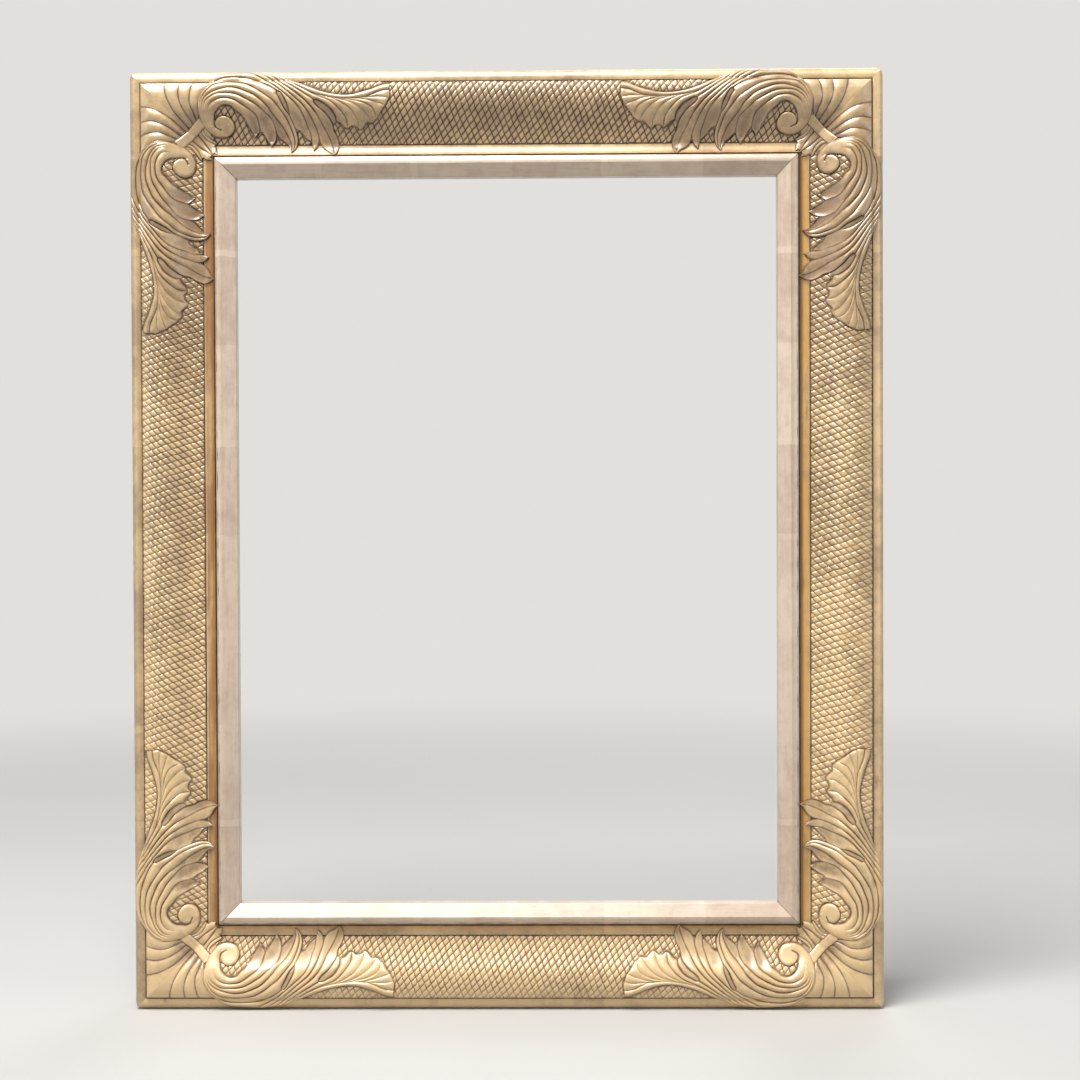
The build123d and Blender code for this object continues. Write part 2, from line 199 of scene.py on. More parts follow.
def read_front():
    """The front's height for every inset, read from the top rail, with its groove bridged."""
    rail = frame["nodes"]["rail_top"].data
    tree = BVHTree.FromPolygons([v.co for v in rail.vertices], [p.vertices[:] for p in rail.polygons])
    insets, heights = [], []
    for step in range(1, int(2 * quirk_inset)):
        inset = step / 2
        if groove_start - 0.2 < inset < groove_end + 0.2:
            continue
        hit = tree.ray_cast((0, -1, half_height - inset * MM), (0, 1, 0))[0]
        insets.append(inset)
        heights.append(-hit.y / MM)
    return np.array(insets), np.array(heights)


front_insets, front_heights = read_front()


def smooth_step(low, high, value):
    share = np.clip((value - low) / (high - low), 0, 1)
    return share * share * (3 - 2 * share)


def curve_through(points, count, trims=(0, 0)):
    """Evenly spaced points on a smooth curve through the given ones, cut short at its ends by the trims."""
    p = np.array(points, float)
    p = np.vstack([2 * p[0] - p[1], p, 2 * p[-1] - p[-2]])
    t = np.linspace(0, 1, 12, endpoint=False)[:, None]
    spans = []
    for a, b, c, d in zip(p, p[1:], p[2:], p[3:]):
        bend = (2 * a - 5 * b + 4 * c - d) * t**2 + (3 * b - a - 3 * c + d) * t**3
        spans.append(b + 0.5 * ((c - a) * t + bend))
    dense = np.vstack(spans + [p[-2:-1]])
    lengths = np.r_[0, np.cumsum(np.linalg.norm(np.diff(dense, axis=0), axis=1))]
    at = np.linspace(trims[0], lengths[-1] - trims[1], count)
    return np.stack([np.interp(at, lengths, dense[:, k]) for k in (0, 1)], -1)


def path_length(points):
    return float(np.linalg.norm(np.diff(np.array(points, float), axis=0), axis=1).sum())


class CornerPlacer:
    """Places points of one corner's carving, given along and inward on one of its rails."""

    def __init__(self, corner, side, wander=0.0):
        self.right, self.up = corners[corner]
        self.upright = side in ("left", "right")
        self.phase = 2.4 * sides.index(side) + 1.3 * list(corners).index(corner)
        self.wander = wander

    def stray(self, points):
        """Shift points a little, smoothly over the piece and differently for each piece."""
        s, u = points[..., 0], points[..., 1]
        shift_s = np.sin(s / 11 + self.phase) * np.cos(u / 9 - 2 * self.phase)
        shift_u = np.sin(s / 13 - 3 * self.phase) * np.cos(u / 7 + self.phase)
        return points + self.wander * np.stack([shift_s, shift_u], -1)

    def __call__(self, points, relief):
        moved = self.stray(points)
        a, b = moved[..., 0], moved[..., 1]
        if self.upright:
            a, b = b, a
        height = np.interp(np.minimum(a, b), front_insets, front_heights) + relief
        x = self.right * (half_width - a * MM)
        z = self.up * (half_height - b * MM)
        return np.stack([x, -height * MM, z], -1)


# Carving


class Carving:
    """Closed flutes gathered into one piece, with the patina that settles along their edges, and painted
    shade in their hollows, pits and roots.
    """

    # Points across a flute, the spacing of its rows, how deep its base is bedded in the rail, and
    # how much is cut off where its lines meet in a point
    columns, row_spacing, sunk, trim = 11, 1.0, -0.4, 0.35
    # How dark a cut line and the glaze beside it are, and the glaze and painted shade in the hollow of a
    # cupped flute
    line_stain, glaze_stain, hollow_stain = 0.53, 0.24, 0.24
    # The band that fingers grow out of: relief at its edges, crown, width, and the length in which
    # they part
    band_edge, band_rise, band_width, band_length = 1.3, 1.4, 14, 14.0

    def __init__(self, placer, settings):
        self.placer = placer
        self.full_width = settings.full_width / MM
        self.line_width = settings.line_width / MM
        self.glaze_reach = settings.glaze_reach / MM
        self.points, self.patina, self.faces, self.outlines = [], [], [], []
        self.count = 0

    def add_points(self, places, patina):
        """Add a grid of points and give back their numbers, in the same grid."""
        first = self.count
        self.points.append(places.reshape(-1, 3))
        self.patina.append(patina.reshape(-1))
        self.count += self.points[-1].shape[0]
        return np.arange(first, self.count).reshape(places.shape[:-1])

    def add_faces(self, *corner_grids):
        """Four-sided faces, each with a corner from the same place of four grids."""
        self.faces += np.stack(corner_grids, -1).reshape(-1, 4).tolist()

    def close(self, top, bottom):
        """Faces over a grid of points, under it, along its sides and across its ends."""
        near, far = bottom[:, 0], bottom[:, 1]
        self.add_faces(top[:-1, :-1], top[1:, :-1], top[1:, 1:], top[:-1, 1:])
        self.add_faces(near[:-1], far[:-1], far[1:], near[1:])
        self.add_faces(top[:-1, 0], near[:-1], near[1:], top[1:, 0])
        self.add_faces(top[:-1, -1], top[1:, -1], far[1:], far[:-1])
        self.faces.append(top[0].tolist() + [far[0], near[0]])
        self.faces.append(top[-1][::-1].tolist() + [near[-1], far[-1]])

    def flute(self, near, far, edge=(1.3, 1.3), rise=1.6, cup=0.0, span=(0.0, 1.0), root=None, stain=0.0,
              flat=2.2, ends=(1.0, 1.0), root_stain=0.0, tip_stain=0.0, line=1.0):
        """A flute between two lines that run the same way.

        edge is the relief at each line and rise the crown over them. cup hollows it near its end.
        span is the part of the flute's section that is made. root gives the shares of a wider band that it
        grows out of. stain, root_stain and tip_stain darken all of it or an end of it, and line is the
        strength of its dark edges. stain is painted shade, and root_stain is patina and painted shade at the
        flute's start.
        """
        length = max(path_length(near), path_length(far))
        rows = int(np.clip(length / self.row_spacing, 10, 110))
        trims = [self.trim if tuple(near[k]) == tuple(far[k]) else 0 for k in (0, -1)]
        near_line = curve_through(near, rows, trims)
        far_line = curve_through(far, rows, trims)
        at = np.linspace(0, 1, rows)[:, None]
        t = (1 - np.cos(np.linspace(0, math.pi, self.columns)))[None, :] / 2
        flat_points = near_line[:, None, :] * (1 - t)[..., None] + far_line[:, None, :] * t[..., None]
        turn = span[0] + (span[1] - span[0]) * t
        width = np.linalg.norm(far_line - near_line, axis=1)[:, None] / (span[1] - span[0])
        arch = 1 - np.abs(2 * turn - 1) ** flat
        hollow = cup * smooth_step(0.55, 0.75, at) * (1 - smooth_step(0.93, 1.0, at))
        level = edge[0] + (edge[1] - edge[0]) * t
        end_share = ends[0] + (1 - ends[0]) * smooth_step(0, 0.15, at)
        end_share = end_share * (ends[1] + (1 - ends[1]) * (1 - smooth_step(0.8, 1, at)))
        swell = rise * np.minimum(1, width / self.full_width) * end_share
        relief = level + swell * (1 - hollow) * arch
        away = np.minimum(turn, 1 - turn) * width
        reach = np.minimum(self.line_width, 0.13 * width + 0.02)
        drawn = line * (0.55 + 0.45 * smooth_step(0.08, 0.45, at))
        patina = self.line_stain * drawn * np.exp(-((away / reach) ** 2))
        patina = patina + self.hollow_stain * hollow * arch**2
        patina = patina + self.glaze_stain * drawn * np.exp(-away / self.glaze_reach)
        patina = patina + root_stain * (1 - smooth_step(0, 0.5, at)) + tip_stain * smooth_step(0.5, 0.85, at)
        if root:
            share = root[0] + (root[1] - root[0]) * t
            band = self.band_edge + self.band_rise * (1 - np.abs(2 * share - 1) ** 2.2)
            grown = smooth_step(0, self.band_length, at * length)
            edge_line = np.exp(-((np.minimum(share, 1 - share) * self.band_width / self.line_width) ** 2))
            relief = band + (relief - band) * grown
            patina = edge_line + (patina - edge_line) * grown
        patina = np.clip(patina + stain, 0, 1)
        top = self.add_points(self.placer(flat_points, relief), patina)
        base = self.placer(flat_points[:, [0, -1]], np.full((rows, 2), self.sunk))
        bottom = self.add_points(base, np.ones((rows, 2)))
        self.close(top, bottom)
        self.outlines += [near_line, far_line]

    def eye(self, centre, radius, cut):
        """The round eye of a scroll, which the scroll's own band runs into beside a curled cut."""
        count, crown = 96, 3.1
        shares = np.linspace(0.08, 1.0, 16)
        angles = np.linspace(0, 360, count, endpoint=False)
        ring = np.stack([np.cos(np.radians(angles)), np.sin(np.radians(angles))], -1)
        flat_points = np.array(centre) + ring[None] * (shares * radius)[:, None, None]
        cut_line = curve_through(cut, 60)
        off_cut = np.linalg.norm(flat_points[:, :, None] - cut_line, axis=-1).min(-1)
        joined = smooth_step(88, 105, angles) * (1 - smooth_step(160, 178, angles))
        rim = 1.0 + 1.5 * joined[None, :]
        relief = rim + (crown - rim) * (1 - shares**8)[:, None]
        relief = relief - 0.8 * np.exp(-((off_cut / 0.6) ** 2))
        patina = smooth_step(0.93, 1.0, shares)[:, None] * 0.9 * (1 - joined)[None, :]
        patina = np.maximum(patina, np.exp(-((off_cut / self.line_width) ** 2)))
        rings = self.add_points(self.placer(flat_points, relief), patina)
        middle = self.add_points(self.placer(np.array([centre], float), np.array([crown])), np.zeros(1))[0]
        base = self.add_points(self.placer(flat_points[-1], np.full(count, self.sunk)), np.ones(count))
        after = np.roll(rings, -1, axis=1)
        self.faces += [[int(middle), a, b] for a, b in zip(rings[0].tolist(), after[0].tolist())]
        self.add_faces(rings[:-1], rings[1:], after[1:], after[:-1])
        self.add_faces(rings[-1], base, np.roll(base, -1), after[-1])
        self.faces.append(base[::-1].tolist())
        self.outlines.append(np.vstack([flat_points[-1], flat_points[-1][:1]]))

    def make(self, name, material):
        """The piece as an object, with its faces turned outward."""
        mesh = bpy.data.meshes.new(name)
        mesh.from_pydata(np.vstack(self.points).tolist(), [], self.faces)
        mesh.attributes.new("patina", "FLOAT", "POINT").data.foreach_set(
            "value", np.concatenate(self.patina).astype(np.float32)
        )
        return finish_mesh(name, mesh, material)


def linked(name, data):
    """A new object in the scene."""
    piece = bpy.data.objects.new(name, data)
    bpy.context.scene.collection.objects.link(piece)
    return piece


def finish_mesh(name, mesh, material):
    """Turn a closed mesh's faces outward, smooth it and link it as a piece."""
    shape = bmesh.new()
    shape.from_mesh(mesh)
    bmesh.ops.recalc_face_normals(shape, faces=shape.faces)
    shape.to_mesh(mesh)
    shape.free()
    mesh.shade_smooth()
    mesh.set_sharp_from_angle(angle=math.radians(50))
    mesh.materials.clear()
    mesh.materials.append(material)
    return linked(name, mesh)


# Lines of a leaf. Each is a cut between two flutes, and past its end the two flutes go their own
# ways to the tips of their fingers.

tip_1, tip_2, tip_3 = (102.5, 53.5), (116, 60), (131.5, 65.5)
tip_a, tip_b, tip_c = (148, 56.5), (150, 64), (168, 68.6)

root_inner, root_outer = (70.5, 38), (57.5, 32.5)
root_shares = (0, 0.35, 0.61, 0.76, 0.87, 0.95, 1)
roots = [tuple(a + (b - a) * share for a, b in zip(root_inner, root_outer)) for share in root_shares]
volute_inner = [(75, 47.5), (71, 45.5), (69.5, 42.5), root_inner]
volute_outer = [(79, 53), (72.5, 53), (68, 51.5), (64.5, 49), (60.5, 44), (58.5, 38.5), root_outer]
scroll_inner = [
    roots[0], (71, 35.5), (73, 32), (76.5, 29), (80, 28), (84.5, 29), (87.5, 32), (91.5, 35),
    (94.5, 38.5), (96.5, 42.5), (99.5, 47.5), (101.8, 51.3),
]
cut_1 = [
    roots[1], (66, 33), (67, 29.5), (68.5, 27), (72, 24.5), (76.5, 23), (81.5, 23), (86.5, 24),
    (90.5, 26), (95, 29), (99.5, 32), (103, 35), (105, 38), (106, 42), (107, 47),
]
cut_2 = [
    roots[2], (63, 29), (64.5, 25), (68.5, 21.5), (72.5, 19.5), (76.5, 19), (81.5, 19), (86.5, 19.5),
    (91.5, 21), (96.5, 23.5), (101, 26), (105, 28.5), (109, 32), (112.5, 35), (116, 38), (118.5, 42),
    (120, 48.5),
]
cut_3 = [
    roots[3], (61.5, 27.5), (63.5, 22.5), (68.5, 18.5), (75, 16), (81.5, 14.5), (89, 15), (97.5, 18),
    (104, 21), (109, 25), (113.5, 29.5), (117, 34.5), (121, 39.5), (125.5, 45), (129, 51.5),
    (131.5, 58.5),
]
cut_4 = [
    roots[4], (59.5, 26.5), (62, 21), (65, 16.5), (69.5, 12.5), (74, 11), (82, 10), (90, 10.5),
    (97.5, 12), (104, 15), (109.5, 18.5), (114.5, 22), (119, 25.5), (124.5, 32.5), (129.5, 39.5),
    (133, 48.5), (134.5, 54.5), (134, 61),
]
cut_5_start = [
    roots[5], (58.5, 26), (60, 20), (63, 15.5), (67.5, 11), (72, 8.5), (76.5, 6.8), (85, 5.8),
    (94.5, 6.2),
]
cut_5 = [(94.5, 6.2), (104, 8), (115, 12.5), (122, 17)]
scroll_back = [
    roots[6], (57.5, 25), (59.5, 19.5), (62.5, 14.5), (66, 10.5), (70.5, 7), (75, 4), (80, 2.2),
    (94.5, 1),
]
# The further lobes leave the leaf's back one after another, at these points
leaves_back = [(100, 1), (108, 1.7), (116, 3), (122, 4.4), (128, 6.3)]
cut_6 = [
    (107.5, 5.2), (116.5, 10.2), (124.5, 16), (131.5, 22), (136.5, 26.5), (141, 32), (144, 38.5),
    (146, 45), (148, 50.5),
]
cut_7 = [
    (116.5, 6.9), (124.5, 12.4), (131.5, 18.2), (137.5, 23.5), (143.5, 29), (148, 35.5), (151, 41.5),
    (153.5, 48), (155, 53.5),
]
cut_8 = [
    (124.5, 9.4), (131.5, 14.4), (139, 20), (146, 26), (151.5, 32), (156, 39), (159.5, 46), (163.5, 53.5),
    (166.5, 61.5),
]
cut_9 = [(130.5, 10.4), (139, 16), (146.5, 21), (152, 24.5)]
stem_start = [(134, 9.9), (139, 13), (150.5, 19.3)]
stem = [(158.5, 21.5), (166.5, 23), (175.5, 24), (185, 24), (191, 23.5)]
stem_end = [(194.5, 23), (200.5, 20.5), (207, 17.8), (213.5, 17)]
back = [
    (132, 7.6), (136, 9.2), (141, 11), (147, 13.5), (152, 15.5), (158.5, 18), (166.5, 20), (175.5, 21),
    (183.5, 20.5), (191, 18.5), (197.5, 16.5), (203.5, 14), (208.5, 12), (213, 11.3),
]
tail_1 = [(156.5, 22), (164, 25), (169, 28.5), (174, 33.5), (177.5, 38.5), (178.5, 42.5)]
tail_2 = [(166.5, 23.5), (174, 27), (180.5, 31), (185, 36.5), (187.5, 42)]
tail_3 = [(175.5, 25), (183.5, 27.5), (190, 31.5), (195, 36.5)]
tail_4 = [(185, 25.5), (193, 27.5), (200, 31.5), (202.5, 36.5)]
tail_5 = [(194.5, 25), (202, 27), (208, 29)]
tail_6 = [(199.5, 23), (207, 22.8)]
end_1, end_2, end_3 = (178.5, 46.5), (188, 47), (198.5, 42.3)
end_4, end_5, end_6, end_7 = (203, 39.5), (210.5, 30), (213.3, 24), (213.5, 17)
pit_1_near = [(121.6, 18.8), (123.4, 22), (125.5, 26.5), (127.5, 31), (130, 34.5), (132, 37)]
pit_1_far = [(124.2, 17.4), (126.4, 19.8), (128.4, 23.5), (130.5, 28), (131.8, 32.5), (132, 37)]
pit_2_near = [(152.2, 26.6), (155, 30), (160, 34), (164.5, 39.5), (166.5, 43.5)]
pit_2_far = [(154.4, 24.4), (158.5, 26.4), (163.5, 29.5), (167, 33.5), (169.2, 37.5), (169.5, 41)]
eye_centre = (78, 44.5)


def carve_leaf(carving):
    """The scroll, its fingers, the lobes beyond them and the tail of one leaf."""
    finger_3_back = pit_1_near + [(134, 42), (136, 48), (137, 54.5), (135.5, 61), tip_3]
    finger_a_front = pit_1_far + [(134, 42), (136, 46.5), (139.5, 48), (143, 52.5), tip_a]
    lobe_c_back = pit_2_near + [(167.5, 48.5), (170, 53), (171.5, 59), (170.5, 64.5), tip_c]
    tail_front = pit_2_far + [(172.5, 42.5), (175.5, 45.5), end_1]
    flute = carving.flute

    # The scroll and its fingers, which grow out of one band and share it between them
    flute(volute_inner, volute_outer, (1.3, 1.3), 1.4, ends=(1.15, 1.0))
    fingers = (
        (scroll_inner + [tip_1], cut_1 + [(104.5, 51), tip_1], (1.2, 1.4), 1.6, 1.7, 0.05),
        (cut_1 + [(109, 49.5), (113.5, 56.5), tip_2], cut_2 + [(119, 55), tip_2], (1.4, 1.4), 1.6, 1.7, 0.05),
        (cut_2 + [(122, 52.5), (128, 57.5), (130.5, 61), tip_3], cut_3 + [tip_3], (1.4, 1.2), 1.6, 1.2, 0.05),
        (cut_3 + [tip_3], cut_4 + [tip_3], (1.2, 1.5), 1.5, 0.0, 0.05),
        (cut_4 + [tip_3], cut_5_start + cut_5[1:] + finger_3_back, (1.5, 1.4), 1.5, 0.0, 0.0),
        (cut_5_start, scroll_back, (1.4, 1.2), 1.5, 0.0, 0.0),
    )
    for root, (near, far, edge, rise, cup, tip_stain) in zip(zip(root_shares, root_shares[1:]), fingers):
        flute(near, far, edge, rise, cup, root=root, tip_stain=tip_stain)

    # The lobes
    cut_5_back = scroll_back[-1:] + leaves_back[:1] + cut_6
    flute(cut_5 + finger_a_front, cut_5_back + [tip_a], (1.4, 1.2), 1.5, 1.2, tip_stain=0.05)
    flute(
        leaves_back[:1] + cut_6 + [(148.3, 57), (149.3, 61), tip_b],
        leaves_back[:2] + cut_7 + [(153.5, 60), tip_b], (1.4, 1.4), 1.6, 0.8, tip_stain=0.04,
    )
    flute(
        leaves_back[1:2] + cut_7 + [(156, 58), (159, 62), (164, 65), tip_c],
        leaves_back[1:3] + cut_8 + [tip_c], (1.4, 1.2), 1.6, 0.8, tip_stain=0.04,
    )
    flute(
        leaves_back[2:3] + cut_8 + [tip_c], leaves_back[2:4] + cut_9 + lobe_c_back, (1.2, 1.4), 1.6, 1.2,
        tip_stain=0.05,
    )
    flute(
        leaves_back[3:4] + cut_9 + tail_front, leaves_back[3:] + stem_start + tail_1 + [end_1],
        (1.4, 1.4), 1.6, tip_stain=0.05,
    )

    # The tail, its stem and the two pits
    tails = (
        (stem_start[-1:] + tail_1 + [end_1, (181.5, 44.5), (186, 45), end_2],
         stem_start[-1:] + stem[:1] + tail_2 + [end_2]),
        (stem[:1] + tail_2 + [end_2, (191, 46), (194.8, 42.3), end_3], stem[:2] + tail_3 + [end_3]),
        (stem[1:2] + tail_3 + [end_3, end_4], stem[1:3] + tail_4 + [end_4]),
        (stem[2:3] + tail_4 + [end_4, (206.5, 35), end_5], stem[2:4] + tail_5 + [end_5]),
        (stem[3:4] + tail_5 + [end_5, (212.5, 26), end_6], stem[3:] + tail_6 + [end_6]),
        (stem[4:] + tail_6 + [end_6, (214, 19.5), end_7], stem[4:] + stem_end),
    )
    for near, far in tails:
        flute(near, far, (1.4, 1.4), 1.0, line=0.45, tip_stain=0.03)
    flute(leaves_back[4:] + stem_start + stem + stem_end, leaves_back[4:] + back, (1.4, 1.2), 1.6)
    # The two pits: sunk, and darkened all over with painted shade
    for start, near, far in ((cut_5[-1:], pit_1_near, pit_1_far), (cut_9[-1:], pit_2_near, pit_2_far)):
        flute(start + near, start + far, (0.7, 0.7), 0.4, line=1.3, stain=0.26)


# Lines of the corner between its two leaves, along and inward, on one side of the mitre

fan_end = groove_end + 0.2
fan_edge = [(57.5, 37.5), (58.5, 32), (58.5, 25), (60.5, 19.5), (63.5, 14.5), (66, 12), (67, fan_end)]
fan_cuts = [
    [(55.3, 39.6), (53.2, 34), (50.8, 27.5), (50.7, 20.5), (52, 13.5), (53.2, fan_end)],
    [(52.2, 42.6), (47.3, 35.5), (43.5, 28), (41.5, 20), (41.6, 13.5), (42, fan_end)],
    [(48.6, 46.2), (41.3, 38.2), (36, 30.6), (32.3, 22.8), (30, 15), (29.2, fan_end)],
]
fan_crease = [(47.4, 47.4), (35, 35), (23, 23), (fan_end, fan_end)]
ribbon_edge = [(37.8, 57.1), (47.45, 47.45), (57.1, 37.8)]
ribbon_width = 8.4
dart_cut = [(55.6, 51.2), (60.3, 56.7), (64, 61.8), (67.2, 66.4)]
dart_side = [(60.5, 46.5), (61, 49.5), (65, 53), (70.3, 56.7)]
dart_curl = [(58.5, 48.2), (60.2, 51.8), (63.8, 55.4), (69.5, 58)]
dart_tip, middle_tip = (71.2, 66.8), (67.9, 67.9)


def swapped(points):
    return [(b, a) for a, b in points]


def both_halves(add, near, far, **options):
    """Add a flute and its copy on the other side of the mitre."""
    add(near, far, **options)
    add(swapped(near), swapped(far), **options)


def carve_fan(carving):
    cuts = [fan_edge] + fan_cuts
    # The starts of the flutes beside the ribbon are darkened with patina and painted shade
    options = {"edge": (0.3, 0.3), "ends": (1.0, 0.5), "root_stain": 0.45}
    for near, far in zip(cuts, cuts[1:]):
        both_halves(carving.flute, near, far, rise=1.1, **options)
    both_halves(carving.flute, cuts[-1], fan_crease, rise=1.0, span=(0.0, 0.46), flat=2.0, **options)


def carve_ribbon(carving):
    step = ribbon_width / math.sqrt(2)
    far = [(a + step, b + step) for a, b in ribbon_edge]
    carving.row_spacing = 0.8
    carving.flute(ribbon_edge, far, (0.8, 0.8), 1.2, flat=6.0, ends=(0.5, 0.5), line=1.2)


def carve_darts(carving):
    side_tip = [(70.3, 57.6)]
    both_halves(carving.flute, dart_curl + side_tip, dart_side + side_tip, edge=(1.1, 1.2), rise=0.9)
    outer = dart_curl + [(68.7, 59.2), (70.6, 61.1), dart_tip]
    # The darts' starts beside the ribbon are darkened with patina and painted shade
    both_halves(
        carving.flute, dart_cut + [(68.6, 65.4), dart_tip], outer, edge=(1.1, 1.1), rise=1.2, root_stain=0.3
    )
    carving.flute(
        dart_cut + [middle_tip], swapped(dart_cut) + [middle_tip], (1.1, 1.1), 1.2, root_stain=0.3
    )


# Shader helpers


class Field:
    """What a node puts out. Arithmetic on it adds the Math node that works it out."""

    def __init__(self, tree, socket):
        self.tree, self.socket = tree, socket

    def __add__(self, other):
        return maths("ADD", self, other)

    def __sub__(self, other):
        return maths("SUBTRACT", self, other)

    def __rsub__(self, other):
        return maths("SUBTRACT", other, self)

    def __mul__(self, other):
        return maths("MULTIPLY", self, other)

    def __truediv__(self, other):
        return maths("DIVIDE", self, other)

    def __abs__(self):
        return maths("ABSOLUTE", self)


def feed(node, values):
    """Link a node's inputs to fields, or set them to plain values."""
    for key, value in values.items():
        if isinstance(value, Field):
            value.tree.links.new(value.socket, node.inputs[key])
        else:
            node.inputs[key].default_value = value


def put(kind, inputs=None, out=0, tree=None, **settings):
    """Add a node, set it up, feed its inputs and give back one of its outputs.

    It goes into the tree of its fields, and one that has none needs its tree.
    """
    inputs = inputs or {}
    tree = tree or next(value.tree for value in inputs.values() if isinstance(value, Field))
    made = tree.nodes.new(kind)
    for name, value in settings.items():
        setattr(made, name, value)
    feed(made, inputs)
    return Field(tree, made.outputs[out])


def all_outputs(field):
    """Every output, by name, of the node that a field comes from."""
    return {socket.name: Field(field.tree, socket) for socket in field.socket.node.outputs}


def maths(operation, *values, clamp=False):
    """One step of arithmetic on fields and numbers."""
    return put("ShaderNodeMath", dict(enumerate(values)), operation=operation, use_clamp=clamp)


def largest(*values):
    return reduce(lambda one, other: maths("MAXIMUM", one, other), values)


def smallest(*values):
    return reduce(lambda one, other: maths("MINIMUM", one, other), values)


def ramp(value, low, high, start=0.0, end=1.0):
    """A smooth change from start to end while the value goes from low to high."""
    inputs = {"Value": value, 1: low, 2: high, 3: start, 4: end}
    return put("ShaderNodeMapRange", inputs, interpolation_type="SMOOTHSTEP")


def opaque(colour):
    """A colour with the alpha that a node wants. A field stays as it is."""
    return colour if isinstance(colour, Field) else (*colour[:3], 1.0)


def mixed(share, first, second):
    inputs = {0: share, 6: opaque(first), 7: opaque(second)}
    return put("ShaderNodeMix", inputs, out=2, data_type="RGBA")


def noise(vector, scale, detail=3.0, roughness=0.55, out=0):
    inputs = {"Vector": vector, "Scale": scale, "Detail": detail, "Roughness": roughness}
    return put("ShaderNodeTexNoise", inputs, out)


def stretched(vector, *scales):
    return put("ShaderNodeVectorMath", {0: vector, 1: scales}, operation="MULTIPLY")


def turned_about_y(vector, angle):
    return put("ShaderNodeVectorRotate", {"Vector": vector, "Angle": angle}, rotation_type="Y_AXIS")


def split(vector):
    """The x, y and z of a vector."""
    return all_outputs(put("ShaderNodeSeparateXYZ", {0: vector})).values()


def joined(x, y, z=0.0):
    return put("ShaderNodeCombineXYZ", {0: x, 1: y, 2: z})


def new_group(name, inputs, outputs, kind="ShaderNodeTree"):
    """A node group with named sockets: what comes in, by name, and its output node."""
    tree = bpy.data.node_groups.new(name, kind)
    for in_out, sockets in (("INPUT", inputs), ("OUTPUT", outputs)):
        for label, socket in sockets.items():
            tree.interface.new_socket(label, in_out=in_out, socket_type=socket)
    given = {socket.name: Field(tree, socket) for socket in tree.nodes.new("NodeGroupInput").outputs}
    return given, tree.nodes.new("NodeGroupOutput")


def use_group(name, vector, **inputs):
    """Place a shared group in the vector's tree, and give back its outputs by name."""
    made = vector.tree.nodes.new("ShaderNodeGroup")
    made.node_tree = bpy.data.node_groups[name]
    feed(made, {"Vector": vector, **inputs})
    return all_outputs(Field(vector.tree, made.outputs[0]))


NUMBER, COLOUR, VECTOR = "NodeSocketFloat", "NodeSocketColor", "NodeSocketVector"
SURFACE = {"Color": COLOUR, "Roughness": NUMBER, "Height": NUMBER}


# Shared finishes


def make_rail_places():
    """Where a point lies on its rail: inset, along and off the mitre in metres, whether the rail stands
    upright, how far to the right the point lies, and the painted shade and light that its height gives it,
    darker towards the top and lighter towards the foot."""
    outputs = dict.fromkeys(("Inset", "Along", "Mitre", "Upright", "Rightward", "Age"), NUMBER)
    given, result = new_group("Rail_places", {"Vector": VECTOR}, outputs)
    x, _, z = split(given["Vector"])
    across = half_width - abs(x)
    upward = half_height - abs(z)
    upright = maths("LESS_THAN", across, upward)
    feed(result, {
        "Inset": smallest(across, upward), "Along": upright * z + (1.0 - upright) * x, "Upright": upright,
        "Mitre": abs(across - upward), "Rightward": x, "Age": ramp(z, -height_shade_reach, height_shade_reach, *height_shade_range),
    })


def make_leaf_laps():
    """Tone of each sheet of leaf, and the line where it laps over the next."""
    inputs = {"Vector": VECTOR, "Along": NUMBER, "Lap": NUMBER}
    given, result = new_group("Leaf_laps", inputs, {"Tone": NUMBER, "Line": NUMBER})
    waver = (noise(given["Vector"], 60.0) - 0.5) * 0.05
    place = given["Along"] / given["Lap"] + waver
    sheet = maths("FLOOR", place)
    tone = put("ShaderNodeTexWhiteNoise", {"W": sheet}, noise_dimensions="1D")
    feed(result, {"Tone": tone, "Line": ramp(place - sheet, 0.06, 0.075, 1.0, 0.0)})


def make_aged_leaf():
    """Toned, rubbed and waxed metal leaf over red clay."""
    inputs = {"Vector": VECTOR, **dict.fromkeys(("Patina", "Tone", "Wear", "Shine", "Lacquer"), NUMBER),
              **dict.fromkeys(("Leaf", "Toned", "Bole", "Glaze", "Wax"), COLOUR)}
    outputs = {**SURFACE, "Metallic": NUMBER, "Coat": NUMBER}
    given, result = new_group("Aged_leaf", inputs, outputs)
    vector = given["Vector"]
    cloud = ramp(noise(vector, 13.0), 0.36, 0.64)
    mottle = noise(vector, 95.0, 7.0, 0.68)
    grain = noise(vector, 640.0, 3.0, 0.6)
    # The given tone carries random toning of the leaf and, from the carving and rails, painted shade and
    # light
    shade = maths("ADD", cloud * 0.45 + ramp(mottle, 0.35, 0.7, 0.0, 0.5), given["Tone"], clamp=True)
    colour = mixed(shade, given["Leaf"], given["Toned"])
    rubbed = ramp(noise(vector, 36.0, 8.0, 0.72), 0.6, 0.72) * given["Wear"]
    colour = mixed(rubbed, colour, given["Bole"])
    speck = ramp(noise(vector, 1100.0, 2.0), 0.7, 0.76, 0.0, 0.5)
    blotched = given["Patina"] * ramp(mottle, 0.3, 0.62, 0.68, 1.14)
    colour = mixed(ramp(blotched, 0.0, 0.5), colour, given["Glaze"])
    waxed = largest(ramp(blotched, 0.4, 0.95), speck * given["Wear"])
    feed(result, {
        "Color": mixed(waxed, colour, given["Wax"]),
        "Roughness": ramp(mottle, 0.3, 0.7, 0.4, 0.56) + waxed * 0.3,
        "Metallic": (1.0 - largest(waxed, rubbed)) * given["Shine"],
        "Coat": (1.0 - waxed * 0.8) * given["Lacquer"],
        "Height": mottle * 0.8 + grain * 0.25,
    })


